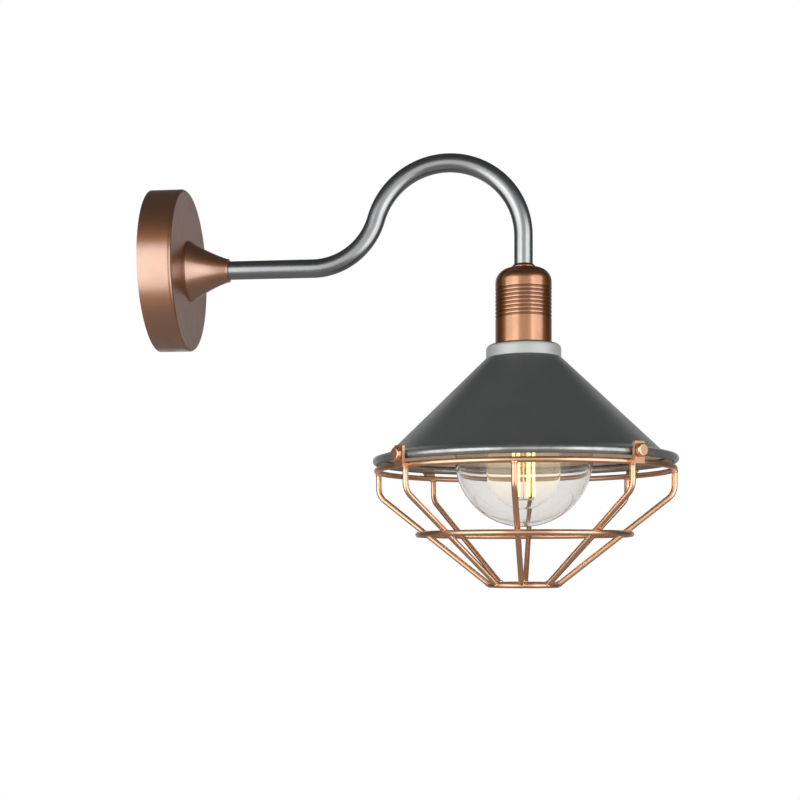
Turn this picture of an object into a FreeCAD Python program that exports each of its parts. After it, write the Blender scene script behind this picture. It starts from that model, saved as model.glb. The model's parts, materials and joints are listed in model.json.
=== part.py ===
import FreeCAD, Part
import math
import os
import Sketcher
from FreeCAD import Placement, Rotation, Vector

# Cage wall light: a round wall canopy, a gooseneck arm, a turned lampholder cup, a conical shade
# with a glass bowl and a long bulb inside it, and a wire cage that four screws clamp to the rim.
# Millimetres. The origin is the centre of the canopy's wall face, +X leaves the wall along the
# arm and +Z is up.

SIZES = {
    # wall canopy and what fixes it
    "canopy_diameter": 140, "canopy_depth": 29, "canopy_wall": 1.5, "canopy_edge_radius": 3,
    "strap_width": 22, "strap_thickness": 2, "strap_bend_radius": 2, "ear_reach": 20,
    "slot_spacing": 80, "slot_length": 16, "slot_width": 4.5,
    "canopy_screw_place": 12, "canopy_screw_diameter": 4, "canopy_screw_head": 6,
    "canopy_screw_length": 9,
    "earth_screw_place": 16, "earth_screw_diameter": 4, "earth_screw_head": 8,
    "earth_head_height": 2.6, "earth_washer_diameter": 9, "earth_washer_thickness": 1,
    "block_length": 17, "block_width": 16, "block_height": 13, "block_place": 18,
    "block_pole_pitch": 8, "block_bore": 3.4, "block_screw_bore": 4,
    "block_screw_length": 3, "block_screw_sink": 1,
    # arm
    "arm_reach": 322, "tube_diameter": 16, "tube_wall": 1.5,
    "foot_bend_radius": 58, "arch_radius": 65, "arch_centre_height": 24,
    "bush_length": 14, "nipple_diameter": 10,
    "nut_width": 14, "nut_height": 4, "washer_diameter": 18, "washer_thickness": 1.2,
    "cone_diameter": 52.8, "cone_tip_wall": 2.3, "cone_length": 35.5, "cone_wall": 1.5,
    "cone_land": 2, "cone_flare_radius": 130, "cone_tip_edge": 0.4,
    # wiring
    "flex_diameter": 6, "flex_gap": 0.5, "flex_projection": 3, "flex_tail": 2,
    "lead_diameter": 1.8, "lead_spread": 1.4, "lead_drop": 0.6, "lead_bend_radius": 4,
    "lead_run": 1, "lead_entry": 3, "lead_straight": 4.2, "lead_end_gap": 0.2,
    # lampholder cup
    "tube_end_drop": 2.2, "collar_depth": 1, "collar_height": 3.6, "collar_diameter": 22,
    "collar_neck_wall": 0.8, "collar_rim_height": 1.2, "collar_edge": 0.5,
    "cup_gap": 0.45, "cup_wall": 1.5, "cup_shoulder_radius": 12, "cup_height": 65.9,
    "groove_start": 19, "groove_pitch": 3.35, "groove_width": 2.1, "groove_floor": 1.3,
    "groove_cut": 0.75, "groove_count": 8,
    # lampholder
    "bridge_drop": 25.4, "bridge_thickness": 1.5, "bridge_diameter": 34, "bridge_hub_diameter": 14,
    "bridge_hub_height": 8, "bridge_screw_diameter": 3.5, "bridge_screw_spacing": 24,
    "bridge_screw_grip": 6, "bridge_screw_hole": 7, "bridge_screw_head": 5.9,
    "bridge_head_height": 1.8,
    "skirt_diameter": 40, "skirt_length": 29.5, "holder_top_diameter": 35,
    "holder_flange_width": 2.2, "holder_flange_height": 4, "holder_roof": 2.5,
    "chamber_diameter": 19, "chamber_height": 16, "socket_depth": 29,
    "holder_edge": 1, "flex_entry_gap": 1.5,
    "post_diameter": 4, "post_spacing": 12, "post_rise": 3, "post_head_diameter": 6,
    "post_head_height": 2, "shell_diameter": 28, "shell_wall": 0.4, "shell_drop": 2,
    "shell_flange": 8, "shell_inset": 1.5, "shell_thread_start": 1, "thread_pitch": 3.6,
    "contact_thickness": 0.8, "contact_width": 5, "contact_overlap": 3,
    "contact_button": 4.8, "contact_spring": 0.7,
    # shade
    "shade_wall": 1.2, "shade_neck_gap": 3.95, "shade_shoulder_radius": 4,
    "shade_neck_height": 11.3, "shade_cone_height": 82,
    "shade_bead_circle": 253, "shade_bead_diameter": 7, "shade_flange_width": 10.2,
    "shade_flange_fall": 3.2,
    # rings, glass fitter and glass
    "ring_width": 7, "ring_height": 4.6, "ring_edge": 1, "fitter_ring_gap": 0.8,
    "fitter_wall": 1.6, "fitter_hub_width": 7, "fitter_land": 1, "fitter_mouth_diameter": 91,
    "fitter_cone_height": 20, "fitter_skirt_height": 14, "fitter_grip": 0.7,
    "gasket_thickness": 2, "gasket_width": 4,
    "glass_diameter": 118.6, "glass_wall": 2, "glass_neck_height": 13,
    "glass_shoulder_height": 13, "glass_wall_height": 40.8, "glass_shoulder_radius": 8,
    # bulb
    "cap_length": 24.5, "cap_wall": 0.3, "cap_thread_depth": 0.7, "cap_insulator_height": 1.2,
    "cap_contact_diameter": 9, "cap_contact_tip": 6.4, "cap_contact_height": 2.2,
    "bulb_diameter": 64, "bulb_length": 113.5,
    "bulb_neck_diameter": 25, "bulb_wall": 0.9, "bulb_crown_height": 34,
    "filament_circle": 18, "filament_diameter": 1.6, "filament_length": 53,
    "filament_end_gap": 9, "frame_thickness": 0.8, "spine_diameter": 1.2,
    "stem_diameter": 8, "stem_neck": 6, "stem_tip": 4, "stem_neck_length": 20,
    "stem_flare": 4, "stem_taper": 5, "stem_gap": 1,
    # cage
    "wire_diameter": 4.8, "top_ring_drop": 8.3, "knee_drop": 20.7, "knee_radius": 14,
    "mid_ring_drop": 54.8, "bottom_ring_diameter": 58.6, "bottom_ring_drop": 98.2,
    "weld_bite": 0.35,
    "cage_phase": -95,
    "clip_width": 11, "clip_thickness": 2.4, "clip_height": 17.4, "clip_above_ring": 15.5,
    "clip_foot_height": 3, "clip_corner_radius": 1,
    "thumb_screw_diameter": 5, "thumb_head_diameter": 10.8, "thumb_head_height": 4.2,
    "thumb_dome_radius": 1.4, "thumb_edge": 0.5, "thumb_tip_projection": 1,
    # clearances
    "seat_gap": 0.3, "thread_gap": 0.05, "hole_gap": 0.3,
    # slots in screw heads
    "driver_slot_width": 0.9, "driver_slot_depth": 0.8,
}

WIRE_COUNT = 8
CLIP_COUNT = 4
FILAMENT_COUNT = 6
SHELL_THREADS = 6
CAP_THREADS = 5

doc = FreeCAD.newDocument("CageWallLight")
sheet = doc.addObject("Spreadsheet::Sheet", "Sizes")
for row, (alias, number) in enumerate(SIZES.items(), start=1):
    sheet.set(f"A{row}", alias)
    sheet.set(f"B{row}", str(number))
    sheet.setAlias(f"B{row}", alias)
doc.recompute()


class Size:
    """A number together with the formula that ties it to the sheet."""

    def __init__(self, value, text):
        self.value = value
        self.text = text

    def joined(self, other, sign, swap=False):
        other = as_size(other)
        left, right = (other, self) if swap else (self, other)
        results = {"+": left.value + right.value, "-": left.value - right.value,
                   "*": left.value * right.value}
        value = left.value / right.value if sign == "/" else results[sign]
        return Size(value, f"({left.text} {sign} {right.text})")

    def __add__(self, other):
        return self.joined(other, "+")

    def __radd__(self, other):
        return self.joined(other, "+", swap=True)

    def __sub__(self, other):
        return self.joined(other, "-")

    def __rsub__(self, other):
        return self.joined(other, "-", swap=True)

    def __mul__(self, other):
        return self.joined(other, "*")

    def __rmul__(self, other):
        return self.joined(other, "*", swap=True)

    def __truediv__(self, other):
        return self.joined(other, "/")

    def __neg__(self):
        return Size(-self.value, f"(0 - {self.text})")

    def root(self):
        return Size(math.sqrt(self.value), f"sqrt({self.text})")


def as_size(number):
    return number if isinstance(number, Size) else Size(float(number), repr(float(number)))


class Sheet:
    """The cells by name: s.tube_wall is the size in the cell called tube_wall."""

    def __getattr__(self, alias):
        return Size(float(sheet.get(alias)), f"Sizes.{alias}")


s = Sheet()
ZERO = as_size(0)
subparts = {}


def bind(target, prop, size):
    """Give a property its size, tied to the sheet."""
    target.setExpression(prop, as_size(size).text)


def keep(label, target):
    """Name an object as a sub-part of the light."""
    target.Label = label
    subparts[label] = target
    return target


def place(target, x=ZERO, y=ZERO, z=ZERO, turn=Rotation()):
    """Put an object at sizes from the sheet, turned by a fixed rotation."""
    target.Placement = Placement(Vector(as_size(x).value, as_size(y).value, as_size(z).value), turn)
    for axis, size in (("x", x), ("y", y), ("z", z)):
        bind(target, f"Placement.Base.{axis}", size)
    return target


ALONG_X = Rotation(Vector(0, 1, 0), 90)
ALONG_Z = Rotation()


def cylinder(radius, height, x=ZERO, y=ZERO, z=ZERO, turn=ALONG_Z):
    solid = doc.addObject("Part::Cylinder", "Cylinder")
    bind(solid, "Radius", radius)
    bind(solid, "Height", height)
    return place(solid, x, y, z, turn)


def box(length, width, height, x, y, z):
    """A block with its low corner at x, y, z."""
    solid = doc.addObject("Part::Box", "Block")
    bind(solid, "Length", length)
    bind(solid, "Width", width)
    bind(solid, "Height", height)
    return place(solid, x, y, z)


def hexagon(across_flats, height, x=ZERO, y=ZERO, z=ZERO, turn=ALONG_Z):
    solid = doc.addObject("Part::Prism", "Hexagon")
    solid.Polygon = 6
    bind(solid, "Circumradius", as_size(across_flats) / math.sqrt(3))
    bind(solid, "Height", height)
    return place(solid, x, y, z, turn)


def torus(circle_radius, tube_radius, x=ZERO, z=ZERO):
    ring = doc.addObject("Part::Torus", "Ring")
    bind(ring, "Radius1", circle_radius)
    bind(ring, "Radius2", tube_radius)
    return place(ring, x, ZERO, z)


def cut(base, *tools):
    for tool in tools:
        result = doc.addObject("Part::Cut", "Cut")
        result.Base = base
        result.Tool = tool
        base = result
    return base


def fuse(*shapes):
    result = doc.addObject("Part::MultiFuse", "Fusion")
    result.Shapes = list(shapes)
    return result


def group(*shapes):
    """Separate solids that share one node."""
    result = doc.addObject("Part::Compound", "Group")
    result.Links = list(shapes)
    return result


def new_body():
    return doc.addObject("PartDesign::Body", "Body")


def new_sketch(body, plane_role):
    sketch = body.newObject("Sketcher::SketchObject", "Sketch")
    plane = [item for item in body.Origin.OriginFeatures if item.Role == plane_role][0]
    sketch.AttachmentSupport = (plane, "")
    sketch.MapMode = "FlatFace"
    return sketch


def hold(sketch, kind, *ends, size):
    """Add a dimension whose value comes from the sheet."""
    size = as_size(size)
    index = sketch.addConstraint(Sketcher.Constraint(kind, *ends, size.value))
    sketch.setExpression(f"Constraints[{index}]", size.text)


def hold_point(sketch, edge, end, x, y):
    hold(sketch, "DistanceX", -1, 1, edge, end, size=x)
    hold(sketch, "DistanceY", -1, 1, edge, end, size=y)


def arc_between(start, end, radius):
    """The short arc from start to end; its centre is on the left for a positive radius."""
    middle = (start + end) / 2
    across = end - start
    rise = math.sqrt(radius ** 2 - (across.Length / 2) ** 2)
    left = Vector(-across.y, across.x, 0).normalize()
    centre = middle + left * (rise if radius > 0 else -rise)
    first, last = (start, end) if radius > 0 else (end, start)
    angles = [math.atan2(point.y - centre.y, point.x - centre.x) for point in (first, last)]
    circle = Part.Circle(centre, Vector(0, 0, 1), abs(radius))
    return Part.ArcOfCircle(circle, angles[0], angles[1])


def outline(sketch, corners):
    """A closed outline. A corner is (x, y), or (x, y, radius) where an arc leads to it."""
    points = [Vector(as_size(corner[0]).value, as_size(corner[1]).value, 0) for corner in corners]
    ends = []
    for index, corner in enumerate(corners):
        start = points[index - 1]
        end = points[index]
        if len(corner) == 2:
            edge = sketch.addGeometry(Part.LineSegment(start, end))
            ends.append((edge, 1, 2))
        else:
            edge = sketch.addGeometry(arc_between(start, end, corner[2].value))
            ends.append((edge, 1, 2) if corner[2].value > 0 else (edge, 2, 1))
    for index, corner in enumerate(corners):
        edge, first, last = ends[index]
        following, next_first, _ = ends[(index + 1) % len(ends)]
        sketch.addConstraint(Sketcher.Constraint("Coincident", edge, last, following, next_first))
        hold_point(sketch, edge, last, corner[0], corner[1])
        if len(corner) == 3:
            radius = corner[2] if corner[2].value > 0 else -corner[2]
            hold(sketch, "Radius", edge, size=radius)


def revolve(body, sketch, axis_name):
    feature = body.newObject("PartDesign::Revolution", "Revolution")
    feature.Profile = sketch
    feature.ReferenceAxis = (sketch, [axis_name])
    feature.Angle = 360
    return feature


def turned(corners, x=ZERO):
    """A piece turned about the vertical: corners are (radius, height)."""
    body = new_body()
    sketch = new_sketch(body, "XZ_Plane")
    outline(sketch, corners)
    revolve(body, sketch, "V_Axis")
    return place(body, x)


def turned_about_arm(corners):
    """A piece turned about the arm's axis: corners are (distance from the wall, radius)."""
    body = new_body()
    sketch = new_sketch(body, "XY_Plane")
    outline(sketch, corners)
    revolve(body, sketch, "H_Axis")
    return body


def is_ring_edge(edge, radius, station):
    if edge.Degenerated:
        return False
    curve = edge.Curve
    if not isinstance(curve, Part.Circle) or abs(curve.Radius - radius) > 0.01:
        return False
    along = curve.Center.dot(curve.Axis) * (1 if sum(curve.Axis) > 0 else -1)
    return abs(along - station) < 0.01


def round_rings(body, radius, rings):
    """Fillet the round edges of given (radius, place along the axis) on a body."""
    doc.recompute()
    base = body.Tip
    names = [f"Edge{number}" for number, edge in enumerate(base.Shape.Edges, start=1)
             if any(is_ring_edge(edge, ring[0].value, ring[1].value) for ring in rings)]
    feature = body.newObject("PartDesign::Fillet", "Fillet")
    feature.Base = (base, names)
    bind(feature, "Radius", radius)
    return feature


def sweep(body, path, rings, plane_role, offset):
    """Sweep concentric circles, drawn on a plane moved along its normal, along a path."""
    profile = new_sketch(body, plane_role)
    bind(profile, "AttachmentOffset.Base.z", offset)
    for centre_x, centre_y, radius in rings:
        circle = Part.Circle(Vector(as_size(centre_x).value, as_size(centre_y).value, 0),
                             Vector(0, 0, 1), radius.value)
        edge = profile.addGeometry(circle)
        hold_point(profile, edge, 3, centre_x, centre_y)
        hold(profile, "Radius", edge, size=radius)
    pipe = body.newObject("PartDesign::AdditivePipe", "Pipe")
    pipe.Profile = profile
    pipe.Spine = path
    return pipe


# --- places worked out from the sheet, shared by the pieces that meet there ---

plate_inside = s.canopy_depth - s.canopy_wall
canopy_inner_radius = s.canopy_diameter / 2 - s.canopy_wall
ear_outside = (canopy_inner_radius * canopy_inner_radius
               - s.strap_width * s.strap_width / 4).root() - s.seat_gap
tube_bore_radius = s.tube_diameter / 2 - s.tube_wall
cup_top = -(s.collar_depth + s.collar_height)
cup_bottom = cup_top - s.cup_height
skirt_radius = s.skirt_diameter / 2
flange_radius = skirt_radius + s.holder_flange_width
cup_radius = flange_radius + s.cup_gap + s.cup_wall
shade_top = cup_bottom
thread_radius = s.nipple_diameter / 2 + s.thread_gap
nipple_bore_radius = s.flex_diameter / 2 + s.flex_gap
block_middle = s.strap_thickness + s.block_height / 2
flex_end = block_middle + s.lead_bend_radius + s.lead_run
bridge_bottom = cup_top - s.bridge_drop
holder_top = bridge_bottom - s.bridge_thickness
holder_mouth = shade_top - s.skirt_length
chamber_top = holder_top - s.holder_roof
chamber_floor = chamber_top - s.chamber_height
socket_top = holder_mouth + s.socket_depth
flex_foot = chamber_top - s.flex_tail
shell_top = socket_top - s.shell_drop
ring_bore = skirt_radius + s.thread_gap
shade_ring_top = shade_top - s.shade_wall
fitter_top = shade_ring_top - s.ring_height
fitter_ring_top = fitter_top - s.fitter_wall
fitter_ring_width = s.fitter_hub_width - s.fitter_wall / 2 - s.fitter_ring_gap
fitter_knee = fitter_top - s.fitter_wall - s.fitter_land
fitter_shoulder = fitter_knee - s.fitter_cone_height
fitter_lip = fitter_shoulder - s.fitter_skirt_height
fitter_inner_radius = s.fitter_mouth_diameter / 2 - s.fitter_wall
glass_neck_radius = fitter_inner_radius - s.fitter_grip
gasket_top = fitter_shoulder
glass_top = gasket_top - s.gasket_thickness - s.seat_gap
bead_radius = s.shade_bead_diameter / 2
rim_radius = s.shade_bead_circle / 2 + bead_radius
neck_radius = ring_bore + s.fitter_hub_width + s.shade_neck_gap + s.shade_wall
cone_top = shade_top - s.shade_neck_height
cone_foot = cone_top - s.shade_cone_height
bead_height = cone_foot - s.shade_flange_fall - bead_radius
cap_top = shell_top - s.seat_gap - s.contact_spring
cap_foot = cap_top - s.cap_length
cap_contact_bottom = cap_top - s.cap_contact_height
cap_shoulder = cap_contact_bottom - s.cap_insulator_height
cap_radius = s.shell_diameter / 2 - s.shell_wall * 2 - s.thread_gap
wire_radius = s.wire_diameter / 2
ring_radius = s.shade_bead_circle / 2
top_ring_height = bead_height - s.top_ring_drop
low_ring_radius = s.bottom_ring_diameter / 2
clip_inside = rim_radius + s.seat_gap + s.thumb_tip_projection
clip_outside = clip_inside + s.clip_thickness


# --- wall canopy ---

def make_canopy():
    radius = s.canopy_diameter / 2
    body = turned_about_arm([
        (ZERO, radius), (ZERO, canopy_inner_radius), (plate_inside, canopy_inner_radius),
        (plate_inside, thread_radius + s.hole_gap), (s.canopy_depth, thread_radius + s.hole_gap),
        (s.canopy_depth, radius)])
    round_rings(body, s.canopy_edge_radius, [(radius, s.canopy_depth)])
    round_rings(body, s.canopy_edge_radius - s.canopy_wall, [(canopy_inner_radius, plate_inside)])
    holes = cylinder(s.canopy_screw_head / 2 + s.hole_gap, s.canopy_diameter * 2,
                     s.canopy_screw_place, ZERO, -s.canopy_diameter)
    keep("wall_canopy", cut(body, holes))


def make_strap():
    bar = box(s.strap_thickness, s.strap_width, ear_outside * 2, ZERO, -s.strap_width / 2, -ear_outside)
    ears = [box(s.ear_reach, s.strap_width, s.strap_thickness, ZERO, -s.strap_width / 2, height)
            for height in (-ear_outside, ear_outside - s.strap_thickness)]
    blank = fuse(bar, *ears)
    doc.recompute()
    bends = doc.addObject("Part::Fillet", "Bends")
    bends.Base = blank
    wanted = []
    for number, edge in enumerate(blank.Shape.Edges, start=1):
        middle = edge.CenterOfMass
        along_y = abs(edge.tangentAt(edge.FirstParameter).y) > 0.99
        inside = abs(middle.x - s.strap_thickness.value) < 0.01
        if along_y and inside and abs(abs(middle.z) - ear_outside.value + s.strap_thickness.value) < 0.01:
            wanted.append((number, s.strap_bend_radius.value, s.strap_bend_radius.value))
    bends.Edges = wanted
    tools = []
    for side in (-1, 1):
        middle = side * s.slot_spacing / 2
        straight = s.slot_length - s.slot_width
        tools.append(box(s.strap_thickness * 3, s.slot_width, straight, -s.strap_thickness,
                         -s.slot_width / 2, middle - straight / 2))
        for end in (-1, 1):
            tools.append(cylinder(s.slot_width / 2, s.strap_thickness * 3, -s.strap_thickness,
                                  ZERO, middle + end * straight / 2, ALONG_X))
    tools.append(cylinder(s.earth_screw_diameter / 2 + s.thread_gap, s.strap_thickness * 3,
                          -s.strap_thickness, ZERO, s.earth_screw_place, ALONG_X))
    tools.append(cylinder(s.canopy_screw_diameter / 2 + s.thread_gap, s.canopy_diameter * 2,
                          s.canopy_screw_place, ZERO, -s.canopy_diameter))
    keep("mounting_strap", cut(bends, *tools))


def make_canopy_screws():
    screws = []
    for side in (-1, 1):
        turn = ALONG_Z if side > 0 else Rotation(Vector(1, 0, 0), 180)
        head_height = s.canopy_diameter / 2 - ear_outside - s.seat_gap
        head = cylinder(s.canopy_screw_head / 2, head_height, s.canopy_screw_place, ZERO,
                        side * ear_outside, turn)
        shank = cylinder(s.canopy_screw_diameter / 2, s.canopy_screw_length, s.canopy_screw_place,
                         ZERO, side * (ear_outside - s.canopy_screw_length), turn)
        top = ear_outside + head_height
        low = side * top if side < 0 else top - s.driver_slot_depth
        slot = box(s.canopy_screw_head * 2, s.driver_slot_width, s.driver_slot_depth,
                   s.canopy_screw_place - s.canopy_screw_head, -s.driver_slot_width / 2, low)
        screws.append(cut(fuse(head, shank), slot))
    keep("canopy_screws", group(*screws))


def make_earth_screw():
    lug = s.strap_thickness + s.earth_washer_thickness
    head = cylinder(s.earth_screw_head / 2, s.earth_head_height, lug, ZERO,
                    s.earth_screw_place, ALONG_X)
    shank = cylinder(s.earth_screw_diameter / 2, lug, ZERO, ZERO, s.earth_screw_place, ALONG_X)
    slot = box(s.driver_slot_depth, s.earth_screw_head * 2, s.driver_slot_width,
               lug + s.earth_head_height - s.driver_slot_depth, -s.earth_screw_head,
               s.earth_screw_place - s.driver_slot_width / 2)
    keep("earth_screw", cut(fuse(head, shank), slot))
    washer = cut(cylinder(s.earth_washer_diameter / 2, s.earth_washer_thickness, s.strap_thickness,
                          ZERO, s.earth_screw_place, ALONG_X),
                 cylinder(s.earth_screw_diameter / 2 + s.thread_gap, s.earth_washer_thickness * 3,
                          s.strap_thickness - s.earth_washer_thickness, ZERO,
                          s.earth_screw_place, ALONG_X))
    keep("earth_washer", washer)


def make_terminal_block():
    front = s.strap_thickness
    low = -s.block_place - s.block_width / 2
    housing = box(s.block_height, s.block_length, s.block_width, front, -s.block_length / 2, low)
    tools = []
    screws = []
    for side in (-1, 1):
        y = side * s.block_pole_pitch / 2
        tools.append(cylinder(s.block_bore / 2, s.block_width * 2, front + s.block_height / 2, y,
                              low - s.block_width / 2))
        for end in (-1, 1):
            z = -s.block_place + end * s.block_width / 4
            tools.append(cylinder(s.block_screw_bore / 2, s.block_height, front + s.block_height / 2,
                                  y, z, ALONG_X))
            head = front + s.block_height - s.block_screw_sink
            screw = cylinder(s.block_screw_bore / 2 - s.thread_gap, s.block_screw_length,
                             head - s.block_screw_length, y, z, ALONG_X)
            slot = box(s.driver_slot_depth * 2, s.block_screw_bore * 2, s.driver_slot_width,
                       head - s.driver_slot_depth, y - s.block_screw_bore,
                       z - s.driver_slot_width / 2)
            screws.append(cut(screw, slot))
    keep("terminal_block", cut(housing, *tools))
    keep("terminal_screws", group(*screws))


# --- arm ---

def arm_path(body, start, end_depth):
    """The arm's centre line: level out of the wall, up, over the arch and down."""
    path = new_sketch(body, "XZ_Plane")
    foot = s.foot_bend_radius.value
    arch = s.arch_radius.value
    rise = s.arch_centre_height.value
    turn = math.acos((foot - rise) / (foot + arch))
    arch_x = s.arm_reach.value - arch
    foot_x = arch_x - (foot + arch) * math.sin(turn)
    level = path.addGeometry(Part.LineSegment(Vector(start.value, 0, 0), Vector(foot_x, 0, 0)))
    low_bend = path.addGeometry(Part.ArcOfCircle(
        Part.Circle(Vector(foot_x, foot, 0), Vector(0, 0, 1), foot),
        -math.pi / 2, -math.pi / 2 + turn))
    over = path.addGeometry(Part.ArcOfCircle(
        Part.Circle(Vector(arch_x, rise, 0), Vector(0, 0, 1), arch), 0, math.pi / 2 + turn))
    drop = path.addGeometry(Part.LineSegment(
        Vector(s.arm_reach.value, rise, 0), Vector(s.arm_reach.value, -end_depth.value, 0)))
    hold_point(path, level, 1, start, ZERO)
    path.addConstraint(Sketcher.Constraint("Horizontal", level))
    path.addConstraint(Sketcher.Constraint("Vertical", drop))
    path.addConstraint(Sketcher.Constraint("Tangent", level, 2, low_bend, 1))
    path.addConstraint(Sketcher.Constraint("Tangent", low_bend, 2, over, 2))
    path.addConstraint(Sketcher.Constraint("Tangent", over, 1, drop, 1))
    hold(path, "Radius", low_bend, size=s.foot_bend_radius)
    hold(path, "Radius", over, size=s.arch_radius)
    hold(path, "DistanceY", -1, 1, over, 3, size=s.arch_centre_height)
    hold_point(path, drop, 2, s.arm_reach, -end_depth)
    return path


def make_arm_tube():
    body = new_body()
    path = arm_path(body, s.canopy_depth, s.tube_end_drop)
    sweep(body, path, [(ZERO, ZERO, s.tube_diameter / 2), (ZERO, ZERO, tube_bore_radius)],
          "YZ_Plane", s.canopy_depth)
    keep("arm_tube", body)


def make_foot_fixing():
    foot = s.canopy_depth
    nipple_start = flex_end + s.flex_projection
    keep("arm_foot_bush", cut(cylinder(tube_bore_radius, s.bush_length, foot, turn=ALONG_X),
                              cylinder(thread_radius, s.bush_length * 3, foot - s.bush_length,
                                       turn=ALONG_X)))
    length = foot + s.bush_length - nipple_start
    keep("arm_nipple", cut(cylinder(s.nipple_diameter / 2, length, nipple_start, turn=ALONG_X),
                           cylinder(nipple_bore_radius, length * 3, nipple_start - length,
                                    turn=ALONG_X)))
    washer_start = plate_inside - s.washer_thickness
    nut_start = washer_start - s.nut_height
    keep("arm_lock_washer", cut(
        cylinder(s.washer_diameter / 2, s.washer_thickness, washer_start, turn=ALONG_X),
        cylinder(thread_radius, s.washer_thickness * 3, washer_start - s.washer_thickness, turn=ALONG_X)))
    keep("arm_lock_nut", cut(
        hexagon(s.nut_width, s.nut_height, nut_start, turn=ALONG_X),
        cylinder(thread_radius, s.nut_height * 3, nut_start - s.nut_height, turn=ALONG_X)))


def make_arm_cone():
    """The flared cup over the arm's foot: a thin turned shell with a land that grips the tube."""
    base = s.canopy_depth
    tip = base + s.cone_length
    wide = s.cone_diameter / 2
    narrow = s.tube_diameter / 2 + s.cone_tip_wall
    bore = s.tube_diameter / 2 + s.thread_gap
    lip = s.cone_wall
    body = turned_about_arm([
        (base, wide), (base, wide - s.cone_wall), (base + lip, wide - s.cone_wall),
        (tip - s.cone_land * 2, bore, s.cone_flare_radius), (tip, bore),
        (tip, narrow - s.cone_tip_edge), (tip - s.cone_tip_edge, narrow), (tip - s.cone_land, narrow),
        (base + lip, wide, -s.cone_flare_radius)])
    keep("arm_cone", body)


# --- lampholder cup and what hangs on the arm's end ---

def make_head_fixing():
    reach = s.arm_reach
    tube_end = -s.tube_end_drop
    keep("arm_end_bush", cut(cylinder(tube_bore_radius, s.bush_length, reach, ZERO, tube_end),
                             cylinder(thread_radius, s.bush_length * 3, reach, ZERO,
                                      tube_end - s.bush_length)))
    hub_bottom = bridge_bottom
    top = tube_end + s.bush_length
    length = top - hub_bottom
    keep("head_nipple", cut(cylinder(s.nipple_diameter / 2, length, reach, ZERO, hub_bottom),
                            cylinder(nipple_bore_radius, length * 3, reach, ZERO,
                                     hub_bottom - length)))
    keep("collar", turned([
        (thread_radius, cup_top), (s.collar_diameter / 2 - s.collar_edge, cup_top),
        (s.collar_diameter / 2, cup_top + s.collar_edge),
        (s.collar_diameter / 2, cup_top + s.collar_rim_height),
        (s.tube_diameter / 2 + s.collar_neck_wall, -s.collar_depth),
        (s.tube_diameter / 2 + s.thread_gap, -s.collar_depth),
        (s.tube_diameter / 2 + s.thread_gap, tube_end), (thread_radius, tube_end)], reach))
    nut_top = cup_top - s.cup_wall
    keep("cup_lock_nut", cut(
        hexagon(s.nut_width, s.nut_height, reach, ZERO, nut_top - s.nut_height),
        cylinder(thread_radius, s.nut_height * 3, reach, ZERO, nut_top - s.nut_height * 2)))


def make_cup():
    inner = cup_radius - s.cup_wall
    shoulder_inner = s.cup_shoulder_radius - s.cup_wall
    flat = cup_radius - s.cup_shoulder_radius
    body = turned([
        (thread_radius + s.hole_gap, cup_top), (thread_radius + s.hole_gap, cup_top - s.cup_wall),
        (flat, cup_top - s.cup_wall), (inner, cup_top - s.cup_shoulder_radius, -shoulder_inner),
        (inner, cup_bottom), (cup_radius, cup_bottom), (cup_radius, cup_top - s.cup_shoulder_radius),
        (flat, cup_top, s.cup_shoulder_radius)], s.arm_reach)
    cutter = new_sketch(body, "XZ_Plane")
    middle = cup_top - s.groove_start
    floor = cup_radius - s.groove_cut
    outside = cup_radius + 1
    outline(cutter, [
        (outside, middle + s.groove_width / 2), (cup_radius, middle + s.groove_width / 2),
        (floor, middle + s.groove_floor / 2), (floor, middle - s.groove_floor / 2),
        (cup_radius, middle - s.groove_width / 2), (outside, middle - s.groove_width / 2)])
    groove = body.newObject("PartDesign::Groove", "Groove")
    groove.Profile = cutter
    groove.ReferenceAxis = (cutter, ["V_Axis"])
    groove.Angle = 360
    pattern = body.newObject("PartDesign::LinearPattern", "Grooves")
    pattern.Originals = [groove]
    pattern.Direction = (cutter, ["V_Axis"])
    pattern.Reversed = True
    bind(pattern, "Length", s.groove_pitch * (s.groove_count - 1))
    pattern.Occurrences = int(s.groove_count.value)
    body.Tip = pattern
    keep("socket_cup", body)


# --- lampholder ---

def make_bridge():
    """The steel plate that screws onto the nipple and carries the lampholder."""
    reach = s.arm_reach
    bottom = holder_top
    plate = cylinder(s.bridge_diameter / 2, s.bridge_thickness, reach, ZERO, bottom)
    hub = cylinder(s.bridge_hub_diameter / 2, s.bridge_hub_height, reach, ZERO,
                   bottom + s.bridge_thickness)
    hub_bore = cylinder(thread_radius, s.bridge_hub_height * 3, reach, ZERO,
                        bottom - s.bridge_hub_height)
    holes = [cylinder(s.bridge_screw_diameter / 2 + s.thread_gap, s.bridge_thickness * 3,
                      reach, side * s.bridge_screw_spacing / 2, bottom - s.bridge_thickness)
             for side in (-1, 1)]
    keep("holder_bridge", cut(fuse(plate, hub), hub_bore, *holes))
    screws = []
    for side in (-1, 1):
        y = side * s.bridge_screw_spacing / 2
        top = bottom + s.bridge_thickness
        shank = cylinder(s.bridge_screw_diameter / 2, s.bridge_thickness + s.bridge_screw_grip,
                         reach, y, bottom - s.bridge_screw_grip)
        head = cylinder(s.bridge_screw_head / 2, s.bridge_head_height, reach, y, top)
        slot = box(s.bridge_screw_head * 2, s.driver_slot_width, s.driver_slot_depth,
                   reach - s.bridge_screw_head, y - s.driver_slot_width / 2,
                   top + s.bridge_head_height - s.driver_slot_depth)
        screws.append(cut(fuse(shank, head), slot))
    keep("bridge_screws", group(*screws))


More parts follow.
